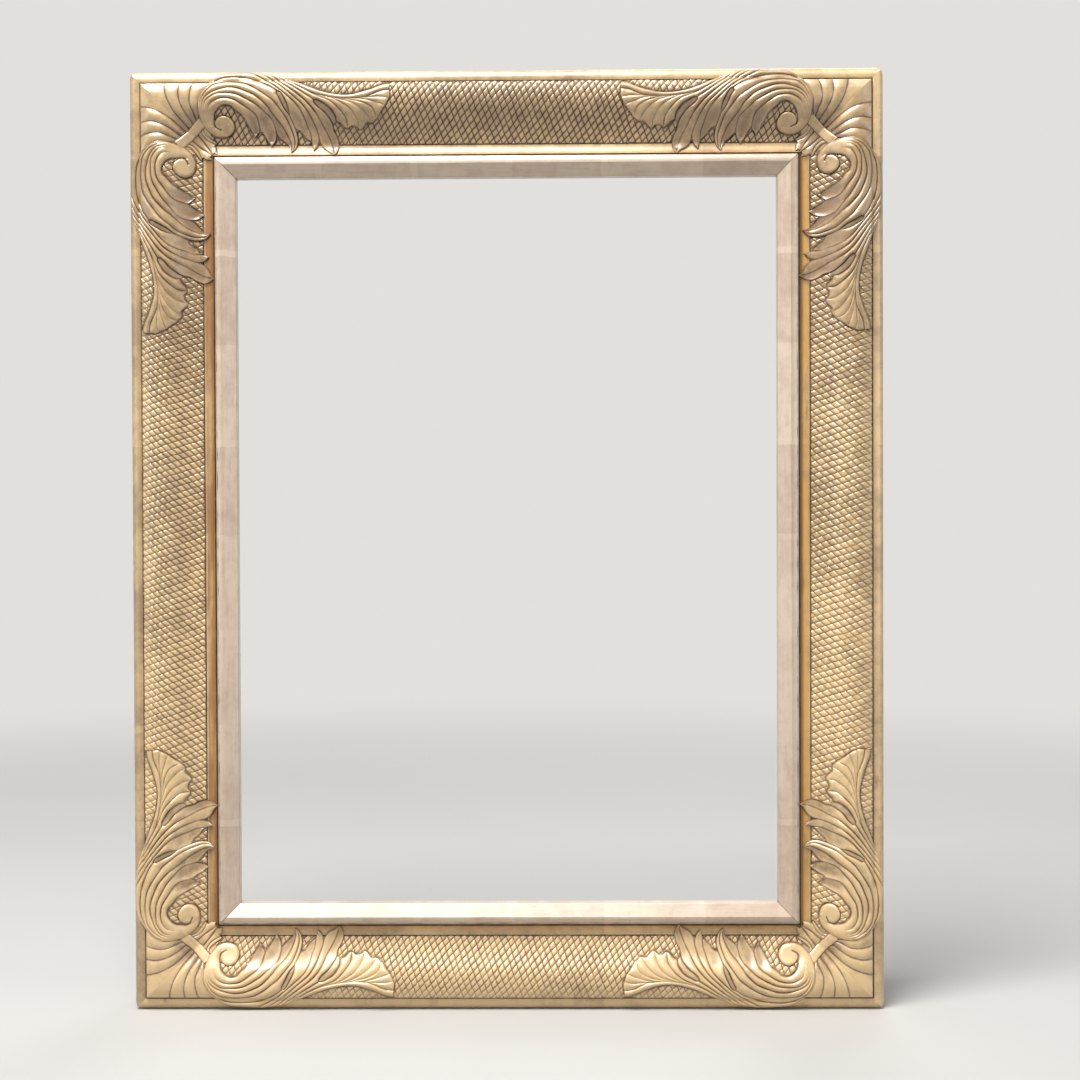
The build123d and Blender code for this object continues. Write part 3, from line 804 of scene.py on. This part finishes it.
def make_bare_wood():
    """Planed softwood with its grain along X of the given coordinates."""
    given, result = new_group("Bare_wood", {"Vector": VECTOR, "Wood": COLOUR}, SURFACE)
    rings = put("ShaderNodeTexWave", {
        "Vector": stretched(given["Vector"], 0.06, 1.0, 1.0), "Scale": 55.0, "Distortion": 9.0, "Detail": 3.0,
        "Detail Scale": 1.4,
    }, out="Fac", bands_direction="Z")
    fibre = noise(stretched(given["Vector"], 0.03, 1.0, 1.0), 900.0, 4.0, 0.6)
    stain = noise(given["Vector"], 12.0, 4.0)
    light = mixed(ramp(stain, 0.35, 0.7, 0.0, 0.45), given["Wood"], paint(132, 96, 62))
    lined = mixed(ramp(rings, 0.45, 1.0, 0.0, 0.4), light, paint(142, 98, 58))
    feed(result, {
        "Color": mixed(ramp(fibre, 0.5, 0.75, 0.0, 0.3), lined, paint(110, 76, 46)),
        "Roughness": ramp(fibre, 0.3, 0.7, 0.62, 0.8), "Height": fibre + rings * 0.4,
    })


def make_worked_metal():
    """Brushed and handled metal: colour, roughness and height."""
    inputs = {"Vector": VECTOR, "Metal": COLOUR, "Tarnish": COLOUR, "Amount": NUMBER}
    given, result = new_group("Worked_metal", inputs, SURFACE)
    scratch = noise(stretched(given["Vector"], 1.0, 1.0, 0.08), 2600.0, 4.0, 0.6)
    cloud = noise(given["Vector"], 160.0, 6.0, 0.65)
    stain = ramp(cloud, 0.42, 0.68) * given["Amount"]
    feed(result, {
        "Color": mixed(stain, given["Metal"], given["Tarnish"]),
        "Roughness": ramp(scratch, 0.3, 0.7, 0.22, 0.36) + stain * 0.25, "Height": scratch + cloud,
    })


# Materials


def new_material(name):
    """An empty material with its shader, and the object's own coordinates."""
    material = bpy.data.materials.new(name)
    material.use_nodes = True
    tree = material.node_tree
    tree.nodes.clear()
    shader = tree.nodes.new("ShaderNodeBsdfPrincipled")
    feed(tree.nodes.new("ShaderNodeOutputMaterial"), {"Surface": Field(tree, shader.outputs[0])})
    return material, shader, put("ShaderNodeTexCoord", out="Object", tree=tree)


def finish(shader, surface, strength, distance, **more):
    """Feed a shader the colour and roughness of a surface, a bump from its height, and more inputs."""
    bump = put("ShaderNodeBump", {"Height": surface["Height"], "Strength": strength, "Distance": distance})
    feed(shader, {"Base Color": surface["Color"], "Roughness": surface["Roughness"], "Normal": bump, **more})


def finish_leaf(shader, gilding, surface, strength, distance):
    """Finish a leafed shader, with a clear coat over the leaf."""
    finish(shader, surface, strength, distance, **{
        "Metallic": surface["Metallic"], "Coat Weight": surface["Coat"],
        "Coat Roughness": gilding.lacquer_roughness, "Coat IOR": gilding.lacquer_index,
    })


def places_and_laps(vector, gilding):
    """Where each point lies on its rail, and the sheets of leaf laid along the rail."""
    places = use_group("Rail_places", vector)
    return places, use_group("Leaf_laps", vector, Along=places["Along"], Lap=gilding.lap)


def aged_leaf(vector, gilding, patina, tone, wear, **colours):
    """Aged leaf on a piece, in gold where no other colours are given."""
    gold = {"Leaf": gilding.gold, "Toned": gilding.toned_and_shaded_gold, "Bole": gilding.bole, "Glaze": gilding.glaze_and_shade,
            "Wax": gilding.patina}
    colours = {name: opaque(colour) for name, colour in {**gold, **colours}.items()}
    return use_group("Aged_leaf", vector, Patina=patina, Tone=tone, Wear=wear, Shine=leaf_shine,
                     Lacquer=gilding.lacquer, **colours)


def line_mask(inset, place, half, soft):
    """One along a line at the given inset, falling to nothing beside it."""
    return ramp(abs(inset - place * MM), half * MM, (half + soft) * MM, 1.0, 0.0)


def facing_back(tree):
    """How far the surface faces the wall."""
    _, back, _ = split(put("ShaderNodeNewGeometry", out="Normal", tree=tree))
    return back


def beside_mitre(places, reach, strength):
    """A dark line in each mitre."""
    return ramp(places["Mitre"], 0.1 * MM, reach * MM, strength, 0.0)


def gilt_carving(gilding):
    """Gold leaf on the carving and the hatching, dark in every cut."""
    material, shader, vector = new_material("gilt_carving")
    places, laps = places_and_laps(vector, gilding)
    # Random tone of each sheet of leaf, plus painted shade and light by height: darker towards the top,
    # lighter towards the foot
    tone = ramp(laps["Tone"], 0.0, 1.0, -0.08, 0.08) + places["Age"]
    # Painted shade on the outer part of the right rail's carving and hatching
    shaded_right_rail = places["Upright"] * ramp(places["Rightward"], 0.1, 0.2)
    tone = tone + shaded_right_rail * ramp(places["Inset"], 12 * MM, 30 * MM, 0.3, 0.0)
    # The patina attribute holds the dark patina of the cuts and, on the carving, also painted shade in cupped
    # hollows, in the pits and at the starts of flutes
    patina = put("ShaderNodeAttribute", out="Fac", tree=vector.tree, attribute_name="patina")
    # The patina is fainter towards the foot of the frame, as painted light there
    patina = patina * ramp(places["Age"], *height_shade_range, 0.72, 1.0)
    leaf = aged_leaf(vector, gilding, patina, tone, 0.45)
    finish_leaf(shader, gilding, leaf, 0.35, 0.6 * MM)
    return material


def gilded_rail(gilding):
    """Gilt in front, ochre on the outer side, bare wood behind and in the rebate."""
    material, shader, vector = new_material("gilded_rail")
    places, laps = places_and_laps(vector, gilding)
    inset, along, upright, rightward = (places[name] for name in ("Inset", "Along", "Upright", "Rightward"))
    _, backward, upward = split(vector)
    height = backward * -1.0

    # Leaf, with painted shade on the fillet of the left rail and painted light on the fillet of the bottom
    # one
    tone = ramp(laps["Tone"], 0.0, 1.0, -0.1, 0.12) - laps["Line"] * 0.15
    left_fillet_shade = upright * ramp(rightward, -0.1, 0.1, 0.35, 0.0)
    low_fillet_light = (1.0 - upright) * ramp(upward, -0.1, 0.1, -0.4, 0.0)
    on_fillet = ramp(inset, (groove_start - 0.2) * MM, (groove_start + 0.4) * MM, 1.0, 0.0)
    tone = tone + on_fillet * (left_fillet_shade + low_fillet_light)
    groove = line_mask(inset, (groove_start + groove_end) / 2, 0.35, 0.5)
    groove = groove * ramp(upright, 0.0, 1.0, 0.85, 0.48)
    valley = line_mask(inset, valley_inset, 0.3, 0.8)
    quirk = line_mask(inset, quirk_inset, 0.1, 0.7)
    mitre = beside_mitre(places, 0.7, 0.7) * ramp(inset, (valley_inset - 0.5) * MM, (valley_inset + 1.5) * MM)
    leaf = aged_leaf(vector, gilding, largest(groove, valley, quirk, mitre), tone, 0.7)

    # The cove, in warmer gold on the left that is also darker there as painted shade, with a painted
    # highlight of brighter gold on the right, painted shade towards the strip, and rubbed in streaks
    in_cove = ramp(inset, cove_start * MM, (cove_start + 2) * MM)
    in_cove = in_cove * ramp(inset, cove_end * MM, (cove_end + 0.5) * MM, 1.0, 0.0)
    in_cove = in_cove * ramp(upright, 0.0, 1.0, 0.25, 1.0)
    streaks = joined(along * 0.12, inset)
    warm = in_cove * ramp(noise(streaks, 120.0, 5.0, 0.6), 0.3, 0.62, 0.3, 0.95)
    cove_gold_and_painted_light = mixed(ramp(rightward, -0.2, 0.2), gilding.cove_gold_and_painted_light, gilding.cove_highlight_gold)
    worn = in_cove * ramp(noise(streaks, 70.0, 6.0, 0.7), 0.5, 0.7, 0.0, 0.75)
    # Painted shade: brown glaze laid towards the strip side of the cove, stronger on the right rail
    shaded = ramp(inset, (cove_end - 4) * MM, (cove_end + 0.1) * MM, 0.0, 0.9)
    shaded = shaded * ramp(rightward, -0.2, 0.2, 0.4, 1.0)
    gilt = mixed(worn, mixed(warm, leaf["Color"], cove_gold_and_painted_light), gilding.bole)
    gilt = mixed(in_cove * shaded, gilt, gilding.glaze_and_shade)

    # The painted outer side, and the wood
    side_space = joined(along, height, inset)
    wood = use_group("Bare_wood", side_space, Wood=opaque(gilding.wood))
    scuffs = noise(side_space, 45.0, 8.0, 0.7)
    ochre = mixed(ramp(scuffs, 0.5, 0.68, 0.0, 0.7), gilding.ochre, paint(128, 86, 50))
    on_side = ramp(inset, 0.3 * MM, 0.8 * MM, 1.0, 0.0)
    on_side = on_side * ramp(height, (ochre_height - 3.5) * MM, ochre_height * MM, 1.0, 0.0)
    back = facing_back(vector.tree)
    low = ramp(height, (bare_height - 0.5) * MM, (bare_height + 0.5) * MM, 1.0, 0.0)
    behind = largest(ramp(back, 0.3, 0.6), low)
    behind = behind * (1.0 - on_side * ramp(back, 0.1, 0.5, 1.0, 0.0))
    wood_colour = mixed(beside_mitre(places, 0.5, 0.65), wood["Color"], gilding.patina)
    plain = 1.0 - largest(on_side, behind)
    other = 1.0 - plain
    coated = maths("SUBTRACT", plain, in_cove * 0.7, clamp=True)
    finish_leaf(shader, gilding, {
        "Color": mixed(behind, mixed(on_side, gilt, ochre), wood_colour),
        "Roughness": leaf["Roughness"] * plain + wood["Roughness"] * other,
        "Height": leaf["Height"] * plain + wood["Height"] * other,
        "Metallic": leaf["Metallic"] * plain, "Coat": leaf["Coat"] * coated,
    }, 0.3, 0.5 * MM)
    return material


def silvered_strip(gilding):
    """Pale leaf in short sheets on the sight moulding, dark in its quirk and in a broken line."""
    material, shader, vector = new_material("silvered_strip")
    places, laps = places_and_laps(vector, gilding)
    inset, along = places["Inset"], places["Along"]
    streaks = joined(along * 0.08, inset)
    streak = noise(streaks, 420.0, 5.0, 0.65)
    tone = ramp(laps["Tone"], 0.0, 1.0, -0.15, 0.3) - laps["Line"] * 0.45 + ramp(streak, 0.4, 0.7, -0.15, 0.3)
    broken = ramp(noise(streaks, 900.0), 0.48, 0.6)
    strip_line = line_mask(inset, strip_line_inset, 0.1, 0.5) * broken
    quirk = line_mask(inset, quirk_inset, 0.25, 0.7)
    dull_streak = ramp(streak, 0.62, 0.8, 0.0, 0.35)
    grime = largest(quirk, beside_mitre(places, 0.6, 0.75), strip_line * 0.8, dull_streak)
    leaf = aged_leaf(
        vector, gilding, grime, tone, 0.55, Leaf=gilding.silver, Toned=gilding.toned_silver,
        Bole=paint(178, 122, 88), Glaze=paint(158, 132, 112), Wax=paint(88, 66, 50),
    )
    _, backward, _ = split(vector)
    wood = use_group("Bare_wood", joined(along, backward, inset), Wood=opaque(gilding.wood))
    behind = ramp(facing_back(vector.tree), 0.3, 0.6)
    plain = 1.0 - behind
    finish_leaf(shader, gilding, {
        "Color": mixed(behind, leaf["Color"], wood["Color"]),
        "Roughness": leaf["Roughness"] * 0.85 + behind * 0.3, "Height": leaf["Height"] + streak * 0.5,
        "Metallic": leaf["Metallic"] * plain, "Coat": leaf["Coat"] * plain,
    }, 0.22, 0.4 * MM)
    return material


def key_wood():
    """Darker hardwood of the bow-tie keys."""
    material, shader, vector = new_material("key_wood")
    wood = use_group("Bare_wood", turned_about_y(vector, math.radians(45)), Wood=opaque(paint(150, 104, 66)))
    finish(shader, wood, 0.3, 0.4 * MM)
    return material


def worked_metal(name, metal, tarnish, amount):
    material, shader, vector = new_material(name)
    made = use_group("Worked_metal", vector, Metal=opaque(metal), Tarnish=opaque(tarnish), Amount=amount)
    finish(shader, made, 0.15, 0.1 * MM, Metallic=1.0)
    return material


def bumper_rubber():
    material, shader, vector = new_material("bumper_rubber")
    dust = noise(vector, 300.0, 5.0, 0.6)
    finish(shader, {
        "Color": mixed(ramp(dust, 0.45, 0.7, 0.0, 0.5), paint(46, 44, 42), paint(96, 90, 82)),
        "Roughness": ramp(dust, 0.3, 0.7, 0.6, 0.8), "Height": noise(vector, 2200.0),
    }, 0.3, 0.1 * MM)
    return material


# Hatching


def make_hatching_tree():
    """Cross hatching laid over a rail's band: a lattice of diamonds, cut down between them."""
    geometry = {"Geometry": "NodeSocketGeometry"}
    sizes = (
        "Half Length", "Reach", "Turn", "Band Start", "Band End", "First Pitch", "Second Pitch",
        "First Slope", "Second Slope", "Cut Width", "Cut Stain", "Pad Height", "Floor Height", "Wander",
        "Seed",
    )
    inputs = {**geometry, **dict.fromkeys(("Rail", "Outline", "Cover"), "NodeSocketObject"),
              "Material": "NodeSocketMaterial", **dict.fromkeys(sizes, NUMBER)}
    given, result = new_group("Cross_hatching", inputs, geometry, "GeometryNodeTree")
    (
        half, reach, turn, start, end, first_pitch, second_pitch, first_slope, second_slope, cut_width,
        cut_stain, pad_height, floor_height, wander, seed,
    ) = (given[name] for name in sizes)
    back_end = half * -1.0

    def cells(pitch, low, high):
        """The first cell of a family of cuts, and how many there are."""
        first = maths("FLOOR", low / pitch)
        return first, maths("CEIL", high / pitch) - first

    first_low, first_count = cells(first_pitch, back_end - first_slope * end, half - first_slope * start)
    second_low, second_count = cells(second_pitch, back_end + second_slope * start, half + second_slope * end)
    steps = 5.0
    grid = put("GeometryNodeMeshGrid", {
        "Size X": first_count, "Size Y": second_count, "Vertices X": first_count * steps + 1.001,
        "Vertices Y": second_count * steps + 1.001,
    })

    def drawn_to_cuts(value, count, low):
        """Lattice number of a grid line, with the lines drawn nearer to the cuts."""
        number = value + count * 0.5 + low
        return number - maths("SINE", number * (2 * math.pi)) * 0.1

    grid_x, grid_y, _ = split(put("GeometryNodeInputPosition", tree=grid.tree))
    p = drawn_to_cuts(grid_x, first_count, first_low)
    q = drawn_to_cuts(grid_y, second_count, second_low)
    first_run = p * first_pitch
    inward = (q * second_pitch - first_run) / (first_slope + second_slope)
    along = first_run + first_slope * inward
    lattice = joined(p, q, seed)
    stray_along, _, _ = split(noise(lattice, 0.45, 2.0, 0.5, "Color"))
    along = along + (stray_along - 0.5) * (wander * 4.0)
    inward = inward + (noise(lattice, 0.3, 2.0, 0.5) - 0.5) * (wander * 4.0)
    outside = largest(maths("LESS_THAN", inward, start), maths("GREATER_THAN", inward, end),
                      maths("GREATER_THAN", abs(along), half))
    outside = put("GeometryNodeFieldOnDomain", {0: outside}, domain="POINT", data_type="BOOLEAN")
    kept = put("GeometryNodeDeleteGeometry", {"Geometry": grid, "Selection": outside}, domain="FACE")

    along = smallest(largest(along, back_end), half)
    inward = smallest(largest(inward, start), end)
    in_front = turned_about_y(joined(along, -1.0, inward - reach), turn)

    def seen_of(target):
        return put("GeometryNodeObjectInfo", {"Object": target}, out="Geometry")

    def struck(target):
        """What a ray from in front of the frame, straight back, meets on a target."""
        return all_outputs(put("GeometryNodeRaycast", {
            "Target Geometry": seen_of(target), "Source Position": in_front, "Ray Direction": (0, 1, 0),
            "Ray Length": 2.0,
        }))

    def off_cut(number, pitch, slope):
        """Distance to the nearest cut of one family."""
        return abs(number - maths("ROUND", number)) * pitch / maths("SQRT", slope * slope + 1.0)

    rail = struck(given["Rail"])
    covered = struck(given["Cover"])["Is Hit"]
    away = smallest(off_cut(p, first_pitch, first_slope), off_cut(q, second_pitch, second_slope))
    near_carving = put("GeometryNodeProximity", {
        0: seen_of(given["Outline"]), "Sample Position": rail["Hit Position"],
    }, out="Distance", target_element="EDGES")
    stop_cut = ramp(near_carving, 0.3 * MM, 0.9 * MM)
    worn_edge = ramp(inward - start, 1.5 * MM, 10 * MM, 0.6, 1.0)
    cut_share = ramp(away, 0.0, cut_width * 0.5, 1.0, 0.0) * worn_edge
    relief = floor_height + smallest(1.0 - cut_share, stop_cut) * (pad_height - floor_height)
    relief = relief + ramp(away, 0.0, 2.2 * MM, 0.0, 0.18 * MM) * stop_cut
    relief = relief * (1.0 - covered) - covered * (0.25 * MM)
    lifted = put("ShaderNodeVectorMath", {0: rail["Hit Normal"], 3: relief}, operation="SCALE")
    carved = put("ShaderNodeVectorMath", {0: rail["Hit Position"], 1: lifted}, operation="ADD")
    in_cut = ramp(away, 0.1 * MM, 0.7 * MM, 1.0, 0.0) * cut_stain * worn_edge
    in_stop = ramp(near_carving, 0.3 * MM, 1.2 * MM, 0.8, 0.0)
    at_border = ramp(smallest(inward - start, end - inward), 0.0, 0.8 * MM, 0.6, 0.0)
    dark = largest(in_cut, in_stop, at_border)
    stored = put("GeometryNodeStoreNamedAttribute", {"Geometry": kept, "Name": "patina", "Value": dark},
                 data_type="FLOAT", domain="POINT")
    moved = put("GeometryNodeSetPosition", {"Geometry": stored, "Position": carved})
    whole = put("GeometryNodeRealizeInstances", {"Geometry": moved})
    finished = put("GeometryNodeSetMaterial", {"Geometry": whole, "Material": given["Material"]})
    feed(result, {"Geometry": finished})
    return grid.tree


def set_inputs(modifier, tree, values):
    """Set a node tree's named inputs by the identifiers of their sockets."""
    for item in tree.interface.items_tree:
        if item.item_type == "SOCKET" and item.in_out == "INPUT" and item.name in values:
            modifier[item.identifier] = values[item.name]


def plain_mesh(tree, values):
    """The mesh that a node tree makes with these values."""
    carrier_mesh = bpy.data.meshes.new("carrier")
    carrier = linked("carrier", carrier_mesh)
    modifier = carrier.modifiers.new("Nodes", "NODES")
    modifier.node_group = tree
    set_inputs(modifier, tree, values)
    seen = carrier.evaluated_get(bpy.context.evaluated_depsgraph_get())
    mesh = bpy.data.meshes.new_from_object(seen)
    carrier.modifiers.remove(modifier)
    bpy.data.objects.remove(carrier)
    bpy.data.meshes.remove(carrier_mesh)
    return mesh


def back_sheet(mesh, depth):
    """Give a sheet a back, a given depth behind it, and walls along its border."""
    shape = bmesh.new()
    shape.from_mesh(mesh)
    borders = [edge for edge in shape.edges if edge.is_boundary]
    copied = bmesh.ops.duplicate(shape, geom=shape.verts[:] + shape.edges[:] + shape.faces[:])
    twin = copied["vert_map"]
    rear_points = [item for item in copied["geom"] if isinstance(item, bmesh.types.BMVert)]
    rear_faces = [item for item in copied["geom"] if isinstance(item, bmesh.types.BMFace)]
    bmesh.ops.translate(shape, vec=(0, depth, 0), verts=rear_points)
    bmesh.ops.reverse_faces(shape, faces=rear_faces)
    for edge in borders:
        first, second = edge.verts
        shape.faces.new((second, first, twin[first], twin[second]))
    shape.to_mesh(mesh)
    shape.free()


def outline_object():
    """The edges of all the carving, laid on the rails as bare edges."""
    points, edges = [], []
    for placer, line in carved_outlines:
        first = len(points)
        points += placer(line, np.zeros(len(line))).tolist()
        edges += [(k, k + 1) for k in range(first, first + len(line) - 1)]
    mesh = bpy.data.meshes.new("carving_outline")
    mesh.from_pydata(points, edges, [])
    return linked("carving_outline", mesh)


def cover_object():
    """All the carving as one object."""
    shape = bmesh.new()
    for piece in carved_pieces:
        shape.from_mesh(piece.data)
    mesh = bpy.data.meshes.new("carving_cover")
    shape.to_mesh(mesh)
    shape.free()
    return linked("carving_cover", mesh)


# Operators

carved_outlines = []
carved_pieces = []


def keep_piece(carving, name, node, material):
    """Make a carved piece and hand it over in place of its plain node."""
    piece = carving.make(name, material)
    carved_outlines.extend((carving.placer, line) for line in carving.outlines)
    carved_pieces.append(piece)
    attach(piece, "frame")
    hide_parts(node)


def carving_material(scene):
    """The one material of all the carving and hatching."""
    return bpy.data.materials.get("gilt_carving") or gilt_carving(scene.frame_gilding)


def dress_nodes(finishes):
    """Give each joinery or fitting node the finish whose name it starts with."""
    for name, node in frame["nodes"].items():
        for start, material in finishes.items():
            if name.startswith(start):
                for slot in node.material_slots:
                    slot.material = material


class PrepareFinishes(bpy.types.Operator):
    """Build the shared shader groups of the leaf, wood and metal finishes"""

    bl_idname = "gilded_frame.prepare_finishes"
    bl_label = "Prepare finishes"

    def execute(self, context):
        for make in (make_rail_places, make_leaf_laps, make_aged_leaf, make_bare_wood, make_worked_metal):
            make()
        return {"FINISHED"}


class CarveLeaves(bpy.types.Operator):
    """Carve the two scroll leaves of each corner"""

    bl_idname = "gilded_frame.carve_leaves"
    bl_label = "Carve leaves"

    def execute(self, context):
        settings, material = context.scene.frame_carving, carving_material(context.scene)
        for corner in corners:
            for side in corner.split("_"):
                carving = Carving(CornerPlacer(corner, side, settings.wander / MM), settings)
                carve_leaf(carving)
                carving.eye(eye_centre, settings.eye_radius / MM, volute_inner[:-1])
                keep_piece(carving, f"carved_leaf_{corner}_{side}", f"leaf_{corner}_on_{side}_rail", material)
        return {"FINISHED"}


class CarveCorners(bpy.types.Operator):
    """Carve the fan, the ribbon and the darts of each corner"""

    bl_idname = "gilded_frame.carve_corners"
    bl_label = "Carve corners"

    def execute(self, context):
        settings, material = context.scene.frame_carving, carving_material(context.scene)
        for corner in corners:
            for name, carve in (("fan", carve_fan), ("ribbon", carve_ribbon), ("darts", carve_darts)):
                carving = Carving(CornerPlacer(corner, corner.split("_")[0]), settings)
                carve(carving)
                keep_piece(carving, f"carved_{name}_{corner}", f"{name}_{corner}", material)
        return {"FINISHED"}


class CutHatching(bpy.types.Operator):
    """Cut the crossed lines on the band of every rail"""

    bl_idname = "gilded_frame.cut_hatching"
    bl_label = "Cut hatching"

    def execute(self, context):
        settings, material = context.scene.frame_hatching, carving_material(context.scene)
        tree = make_hatching_tree()
        outline, cover = outline_object(), cover_object()
        for turn, side in enumerate(sides):
            upright = side in ("left", "right")
            mesh = plain_mesh(tree, {
                "Rail": frame["nodes"][f"rail_{side}"], "Outline": outline, "Cover": cover,
                "Material": material,
                "Half Length": (half_height if upright else half_width) - hatch_clearance * MM,
                "Reach": half_width if upright else half_height, "Turn": turn * math.pi / 2,
                "Band Start": (groove_end + 0.1) * MM, "Band End": (valley_inset - 0.1) * MM,
                "First Pitch": settings.first_pitch[turn], "Second Pitch": settings.second_pitch[turn],
                "First Slope": settings.first_slope[turn], "Second Slope": settings.second_slope[turn],
                "Cut Width": settings.cut_width, "Cut Stain": settings.cut_stain[turn],
                "Pad Height": settings.pad_height, "Floor Height": settings.floor_height,
                "Wander": settings.wander, "Seed": float(settings.seed + turn),
            })
            if not mesh.polygons:
                raise RuntimeError(f"the hatching of the {side} rail came out empty")
            back_sheet(mesh, 1.4 * MM)
            piece = finish_mesh(f"hatching_{side}", mesh, material)
            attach(piece, "frame")
        bpy.data.objects.remove(outline)
        bpy.data.objects.remove(cover)
        return {"FINISHED"}


class FinishJoinery(bpy.types.Operator):
    """Gild the rails and the sight moulding, and finish their keys"""

    bl_idname = "gilded_frame.finish_joinery"
    bl_label = "Finish joinery"

    def execute(self, context):
        gilding = context.scene.frame_gilding
        dress_nodes({
            "rail_": gilded_rail(gilding), "sight_strip_": silvered_strip(gilding), "corner_key_": key_wood(),
        })
        return {"FINISHED"}


class FinishFittings(bpy.types.Operator):
    """Finish the hangers, the turn buttons, their screws and the wall bumpers"""

    bl_idname = "gilded_frame.finish_fittings"
    bl_label = "Finish fittings"

    def execute(self, context):
        steel = worked_metal("plated_steel", paint(186, 184, 178), paint(120, 112, 98), 0.5)
        brass = worked_metal("aged_brass", paint(196, 158, 92), paint(118, 88, 50), 0.7)
        dress_nodes({
            "hanger_strap_": steel, "hanger_ring_": steel, "hanger_screws_": brass,
            "turn_button_": brass, "wall_bumper_": bumper_rubber(),
        })
        return {"FINISHED"}


class BuildStage(bpy.types.Operator):
    """Set the floor, the light and the camera"""

    bl_idname = "gilded_frame.build_stage"
    bl_label = "Build stage"

    def execute(self, context):
        settings = context.scene.frame_stage
        floor(settings)
        world(settings)
        for name, (place, size, power_setting) in lamps.items():
            lamp(name, place, size, getattr(settings, power_setting))
        camera(context.scene)
        context.scene.view_settings.view_transform = "Standard"
        return {"FINISHED"}


# Stage


def floor(settings):
    """A round pale floor that fades into the backdrop."""
    mesh = bpy.data.meshes.new("floor")
    shape = bmesh.new()
    bmesh.ops.create_circle(shape, cap_ends=True, segments=96, radius=6.0)
    bmesh.ops.translate(shape, verts=shape.verts, vec=(0, 0, -half_height - 0.2 * MM))
    shape.to_mesh(mesh)
    shape.free()
    material, shader, vector = new_material("floor")
    tree = vector.tree
    seen = seen_directly(tree)
    mottle = mixed(noise(vector, 3.0, 4.0), paint(206, 204, 200), paint(200, 198, 194))
    feed(shader, {"Base Color": mixed(seen, paint(120, 118, 114), mottle), "Roughness": 0.75})
    away = put("ShaderNodeVectorMath", {0: vector}, out="Value", operation="LENGTH")
    glow = put("ShaderNodeEmission", {"Color": opaque(settings.backdrop)}, tree=tree)
    fade = ramp(away, 0.9, 2.6) * seen
    blend = put("ShaderNodeMixShader", {0: fade, 1: Field(tree, shader.outputs[0]), 2: glow})
    feed(tree.get_output_node("ALL"), {"Surface": blend})
    mesh.materials.append(material)
    linked("floor", mesh)


def seen_directly(tree):
    """One for what the camera sees, also in a mirror or through glass, and nothing for other light."""
    rays = all_outputs(put("ShaderNodeLightPath", tree=tree))
    return largest(*(rays[f"Is {kind} Ray"] for kind in ("Camera", "Glossy", "Transmission")))


def world(settings):
    """Soft light from all round, with the pale backdrop for what looks straight at it."""
    made = bpy.data.worlds.new("studio")
    made.use_nodes = True
    tree = made.node_tree
    tree.nodes.clear()
    light = put("ShaderNodeBackground", {"Color": sky_colour, "Strength": settings.sky}, tree=tree)
    backdrop = put("ShaderNodeBackground", {"Color": opaque(settings.backdrop)}, tree=tree)
    mix = put("ShaderNodeMixShader", {0: seen_directly(tree), 1: light, 2: backdrop})
    feed(tree.nodes.new("ShaderNodeOutputWorld"), {"Surface": mix})
    bpy.context.scene.world = made


def lamp(name, place, size, watts):
    """A round lamp that points at the middle of the frame."""
    light = bpy.data.lights.new(name, "AREA")
    light.shape = "DISK"
    light.size = size
    light.energy = watts
    piece = linked(name, light)
    piece.location = place
    piece.rotation_euler = (-Vector(place)).to_track_quat("-Z", "Y").to_euler()


def camera(scene):
    """A camera nearly square to the frame, as the one that took the photograph."""
    lens = bpy.data.cameras.new("camera")
    lens.sensor_width = 36.0
    lens.lens = camera_lens
    lens.dof.use_dof = False
    piece = linked("camera", lens)
    piece.location = camera_place
    piece.rotation_euler = [math.radians(angle) for angle in camera_turn]
    scene.camera = piece


# Panel


class FramePanel(bpy.types.Panel):
    """Lists the frame's settings and steps"""

    bl_idname = "GILDEDFRAME_PT_main"
    bl_label = "Gilded Frame"
    bl_space_type = "VIEW_3D"
    bl_region_type = "UI"
    bl_category = "Gilded Frame"

    def draw(self, context):
        for group in settings_groups:
            box = self.layout.box()
            settings = getattr(context.scene, group)
            for name in settings.bl_rna.properties.keys():
                if name not in ("rna_type", "name"):
                    box.prop(settings, name)
        for operator in operators:
            self.layout.operator(operator.bl_idname)


settings_groups = {
    "frame_hatching": HatchingSettings,
    "frame_carving": CarvingSettings,
    "frame_gilding": GildingSettings,
    "frame_stage": StageSettings,
}
operators = (
    PrepareFinishes, CarveLeaves, CarveCorners, CutHatching, FinishJoinery, FinishFittings, BuildStage,
)
classes = (*settings_groups.values(), *operators, FramePanel)


def register():
    for cls in classes:
        bpy.utils.register_class(cls)
    for name, cls in settings_groups.items():
        setattr(bpy.types.Scene, name, PointerProperty(type=cls))


def unregister():
    for name in settings_groups:
        delattr(bpy.types.Scene, name)
    for cls in classes:
        bpy.utils.unregister_class(cls)


def main():
    register()
    for operator in operators:
        group, name = operator.bl_idname.split(".")
        getattr(getattr(bpy.ops, group), name)()


if __name__ == "__main__":
    main()
